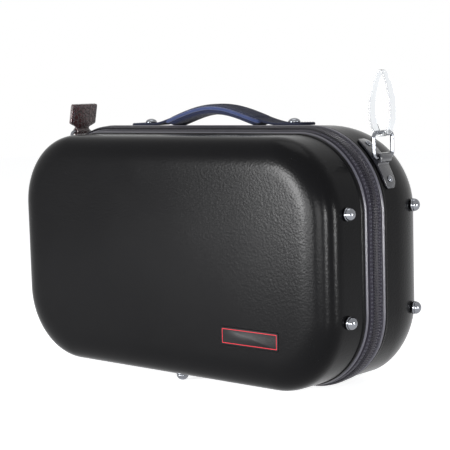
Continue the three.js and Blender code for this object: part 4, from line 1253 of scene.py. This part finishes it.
def plateRows(outline, low, high, bevel, middle):
    centre = Vector((0, middle))
    rows = []
    for level, inBy in ((low, bevel), (low + bevel, 0), (high - bevel, 0), (high, bevel)):
        drawn = [p + (centre - p).normalized() * min(inBy, (centre - p).length) for p in outline]
        rows.append([onSlider(p.x, p.y, level) for p in drawn])
    return rows


def sliderBlade(z, nose):
    # shield shaped: broad shoulders at the nose and a narrower tail
    long, wide, tail = slider["length"] / 2, slider["width"] / 2, slider["tail"] / 2
    shoulder = arc(wide - 1.6, long - 2.2, 1.6, 2.2, quarterOf(8))
    heel = arc(1.0 - tail, 1.4 - long, -1.0, -1.4, quarterOf(5))
    points = shoulder + [(-x, y) for x, y in shoulder[::-1]] + [(-wide, long - 5), (-tail - 0.3, 3 - long)]
    points += heel + [(-x, y) for x, y in heel[::-1]] + [(tail + 0.3, 3 - long), (wide, long - 5)]
    return [Vector((x, z + y * nose)) for x, y in points]


def sliderParts(z, nose):
    low, high, innerTop = slider["plateLow"], slider["plateLow"] + slider["plate"], slider["innerTop"]
    blade = sliderBlade(z, nose)
    overlap = slider["overlap"]
    levels = ((low, high, 0.4), (innerTop - slider["plate"], innerTop, 0.35))
    parts = [addSkin("blade", plateRows(blade, *level, z), "gunmetal", sharp=sliderSharp) for level in levels]
    top, half = slider["length"] / 2 - slider["wedgeFromNose"], slider["wedge"] / 2
    wedgeLine = [(0, top - slider["wedgeLength"]), (half, top - 1), (0, top), (-half, top - 1)]
    wedgeLevels = (innerTop - overlap, low + overlap)
    wedgeRows = [[onSlider(x, z + y * nose, level) for x, y in wedgeLine] for level in wedgeLevels]
    parts.append(addSkin("wedge", wedgeRows, "gunmetal"))
    # lips along the outer plate's sides keep the tapes in the slot
    lipOut = slider["width"] / 2 - slider["lipIn"]
    for side in (-1, 1):
        line = [(1, 1.6), (0.96, -1.2), (0.88, -3.4)]
        path = [onSlider(side * lipOut * share, z + nose * y, low + 0.1) for share, y in line]
        parts.append(addSkin("lip", tubeRows(path, slider["lipRadius"], 8), "gunmetal"))
    half, spring = slider["bailSpan"] / 2 - slider["bailWire"], high - overlap
    rise = slider["bailRise"] - slider["bailWire"] + overlap
    turns = stepsFrom(0, math.pi, 16)
    arch = [onSlider(0, z - half * math.cos(a), spring + rise * max(math.sin(a), 0) ** 0.8) for a in turns]
    parts.append(addSkin("bail", tubeRows(arch, slider["bailWire"], 10), "gunmetal"))
    return parts


# each slider's name, its nose's way along the zip, and its middle
sliders = [(name, nose, -nose * slider["pitch"] / 2) for name, nose in (("upper", -1), ("lower", 1))]
for name, nose, z in sliders:
    whole = joinObjects(name + "Slider", sliderParts(z, nose))
    shade(whole.data, sliderSharp)
    settle(whole, "slider_" + name, "gunmetal", "slider_" + name)

# Pulls: a flat drop-shaped plate with a window, whose bar hangs in the slider's bail.
pull = {
    "length": 20,
    "width": 8.5,
    "neck": 8,
    "thickness": 1.6,
    "windowWidth": 4.6,
    "windowHeight": 4,
    "windowCorner": 0.7,
    "bar": 1.6,
    "rise": 1.5,
    "ease": 0.35,
    "steps": 96,
}
pivotOut = slider["plateLow"] + slider["plate"] + pull["rise"]


def reachTo(outline, origin, angle):
    # where a ray from the origin leaves a closed outline
    ray = Vector((math.cos(angle), math.sin(angle)))
    best = 0.0
    for a, b in zip(outline, outline[1:] + outline[:1]):
        edge, gap = b - a, a - origin
        cross = ray.cross(edge)
        if abs(cross) < 1e-9:
            continue
        t = gap.cross(edge) / cross
        s = gap.cross(ray) / cross
        if t > 0 and -1e-6 <= s <= 1 + 1e-6:
            best = max(best, t)
    return origin + ray * best


barHalf, halfWide, neckHalf = pull["bar"] / 2, pull["width"] / 2, pull["neck"] / 2
waist = -pull["windowHeight"] - pull["bar"]
rightLine = [(neckHalf - x, barHalf - y) for x, y in ((0.7, 0), (0.2, 0.2), (0, 0.7))] + [(neckHalf, waist)]
tongue = arc(0, halfWide - pull["length"], halfWide, -halfWide, stepsFrom(0, math.pi, 14))
outerLine = [Vector(p) for p in rightLine + tongue + [(-x, y) for x, y in rightLine[::-1]]]
windowMiddle = Vector((0, -barHalf - pull["windowHeight"] / 2))
box = roundedBox(pull["windowWidth"], pull["windowHeight"], pull["windowCorner"], 4)
window = [windowMiddle + p for p in box]
half, ease = pull["thickness"] / 2, pull["ease"]
for name, _, z in sliders:
    rows = []
    for angle in turnsOf(pull["steps"]):
        inward, outward = reachTo(window, windowMiddle, angle), reachTo(outerLine, windowMiddle, angle)
        way = (outward - inward).normalized() * ease
        below = [(inward, ease - half), (inward + way, -half), (outward - way, -half), (outward, ease - half)]
        section = below + [(p, -h) for p, h in below[::-1]]
        rows.append([onSlider(p.x, z + p.y, pivotOut + h) for p, h in section])
    plate = addSkin(name + "Pull", rows, "gunmetal", joined=True, sharp=sliderSharp)
    settle(plate, "pull_" + name, "gunmetal", "pull_" + name)
print("sliders and pulls made")


# Plush inserts: the foam blocks with their pockets, remeshed so that the plush rounds every edge.
plush = {"voxel": 2.4, "smoothing": 10, "quickSmoothing": 2, "softness": 0.5, "fill": 0.9}
for _, body in halves:
    foam = nodes[body + "_insert"].copy()
    foam.data = foam.data.copy()
    foam.name = body + "Plush"
    foam.data.name = foam.name
    foam.parent = None
    foam.matrix_world = Matrix.Identity(4)
    scene.collection.objects.link(foam)
    remesh = foam.modifiers.new("plushSkin", "REMESH")
    remesh.mode = "VOXEL"
    remesh.voxel_size = plush["voxel"] * metre
    soften = foam.modifiers.new("soften", "SMOOTH")
    soften.iterations = plush["smoothing"]
    soften.factor = plush["softness"]
    baked(foam)
    foam.data.materials.clear()
    foam.data.materials.append(finishes["plush"])
    foam.data.shade_smooth()
    settle(foam, body, "plush", body + "_insert")
    print(body, "plush faces:", len(foam.data.polygons))


# The studio: a pale floor, a white surround and soft lamps, in metres and watts. Low softboxes on the
# left make the glow on the right of the lid's face and on its rounded edge, strips on the right make
# the bright lines there, and a broad softbox hangs overhead.
studio = {"floorSize": 6.0, "floorDrop": 0.0002, "skyLight": 0.3, "floorGlow": 0.74, "aim": (0.0, 0.0, 0.1)}
lamps = {
    "frontSoftbox": {"place": (-0.48, -1.06, 0.17), "size": (0.24, 0.3), "power": 17.0},
    "leftStrip": {"place": (-0.08, -0.88, 0.12), "size": (0.26, 0.22), "power": 4.0},
    "rightStrip": {"place": (0.38, -0.87, 0.13), "size": (0.3, 0.24), "power": 3.2},
    "nearStrip": {"place": (0.754, -0.635, 0.12), "size": (0.08, 0.22), "power": 5.0},
    "farStrip": {"place": (0.845, 0.046, 0.12), "size": (0.08, 0.22), "power": 3.4},
    "overheadSoftbox": {"place": (-0.1, 0.1, 1.5), "size": (0.8, 0.8), "power": 3.5},
}


def seenShare(tree):
    # 1 for what the camera sees, and for what metal and glass show
    rays = addNode(tree, "ShaderNodeLightPath").outputs
    seen = addMath(tree, "MAXIMUM", rays["Is Camera Ray"], rays["Is Glossy Ray"])
    return addMath(tree, "MAXIMUM", seen, rays["Is Transmission Ray"])


# Matt white board. It shows as white to the camera and in reflections, and keeps the shadow of the case.
white = toLinear("#ffffff")
shader = newFinish("floor", "#e9eaec", 0.9, Specular_IOR_Level=0.0, Emission_Color=white)
addRelief(shader, addNoise(shader, size=25 / 3, detail=2), 0.1, 0.2)
tree = shader.id_data
glow = addMath(tree, "MULTIPLY", seenShare(tree), studio["floorGlow"])
tree.links.new(glow, shader.inputs["Emission Strength"])
half, drop = studio["floorSize"] / 2, studio["floorDrop"]
corners = [Vector((x * half, y * half, -drop)) for x, y in quadrants]
addMesh("studioFloor", corners, [(0, 1, 2, 3)], "floor")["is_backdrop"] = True

world = bpy.data.worlds.new("studioWorld")
scene.world = world
world.use_nodes = True
sky = world.node_tree
background = sky.nodes["Background"]
background.inputs["Color"].default_value = white
plain = {"Value": seenShare(sky), "To Min": studio["skyLight"], "To Max": 1.0}
level = addNode(sky, "ShaderNodeMapRange", plain).outputs["Result"]
sky.links.new(level, background.inputs["Strength"])

for name, lamp in lamps.items():
    lampData = bpy.data.lights.new(name, "AREA")
    lampData.shape = "RECTANGLE"
    lampData.size, lampData.size_y = lamp["size"]
    lampData.energy = lamp["power"]
    place = Vector(lamp["place"])
    facing = (Vector(studio["aim"]) - place).to_track_quat("-Z", "Y").to_matrix().to_4x4()
    addObject(name, lampData).matrix_world = Matrix.Translation(place) @ facing
scene.view_settings.view_transform = "Standard"
print("studio lit")

low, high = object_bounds()
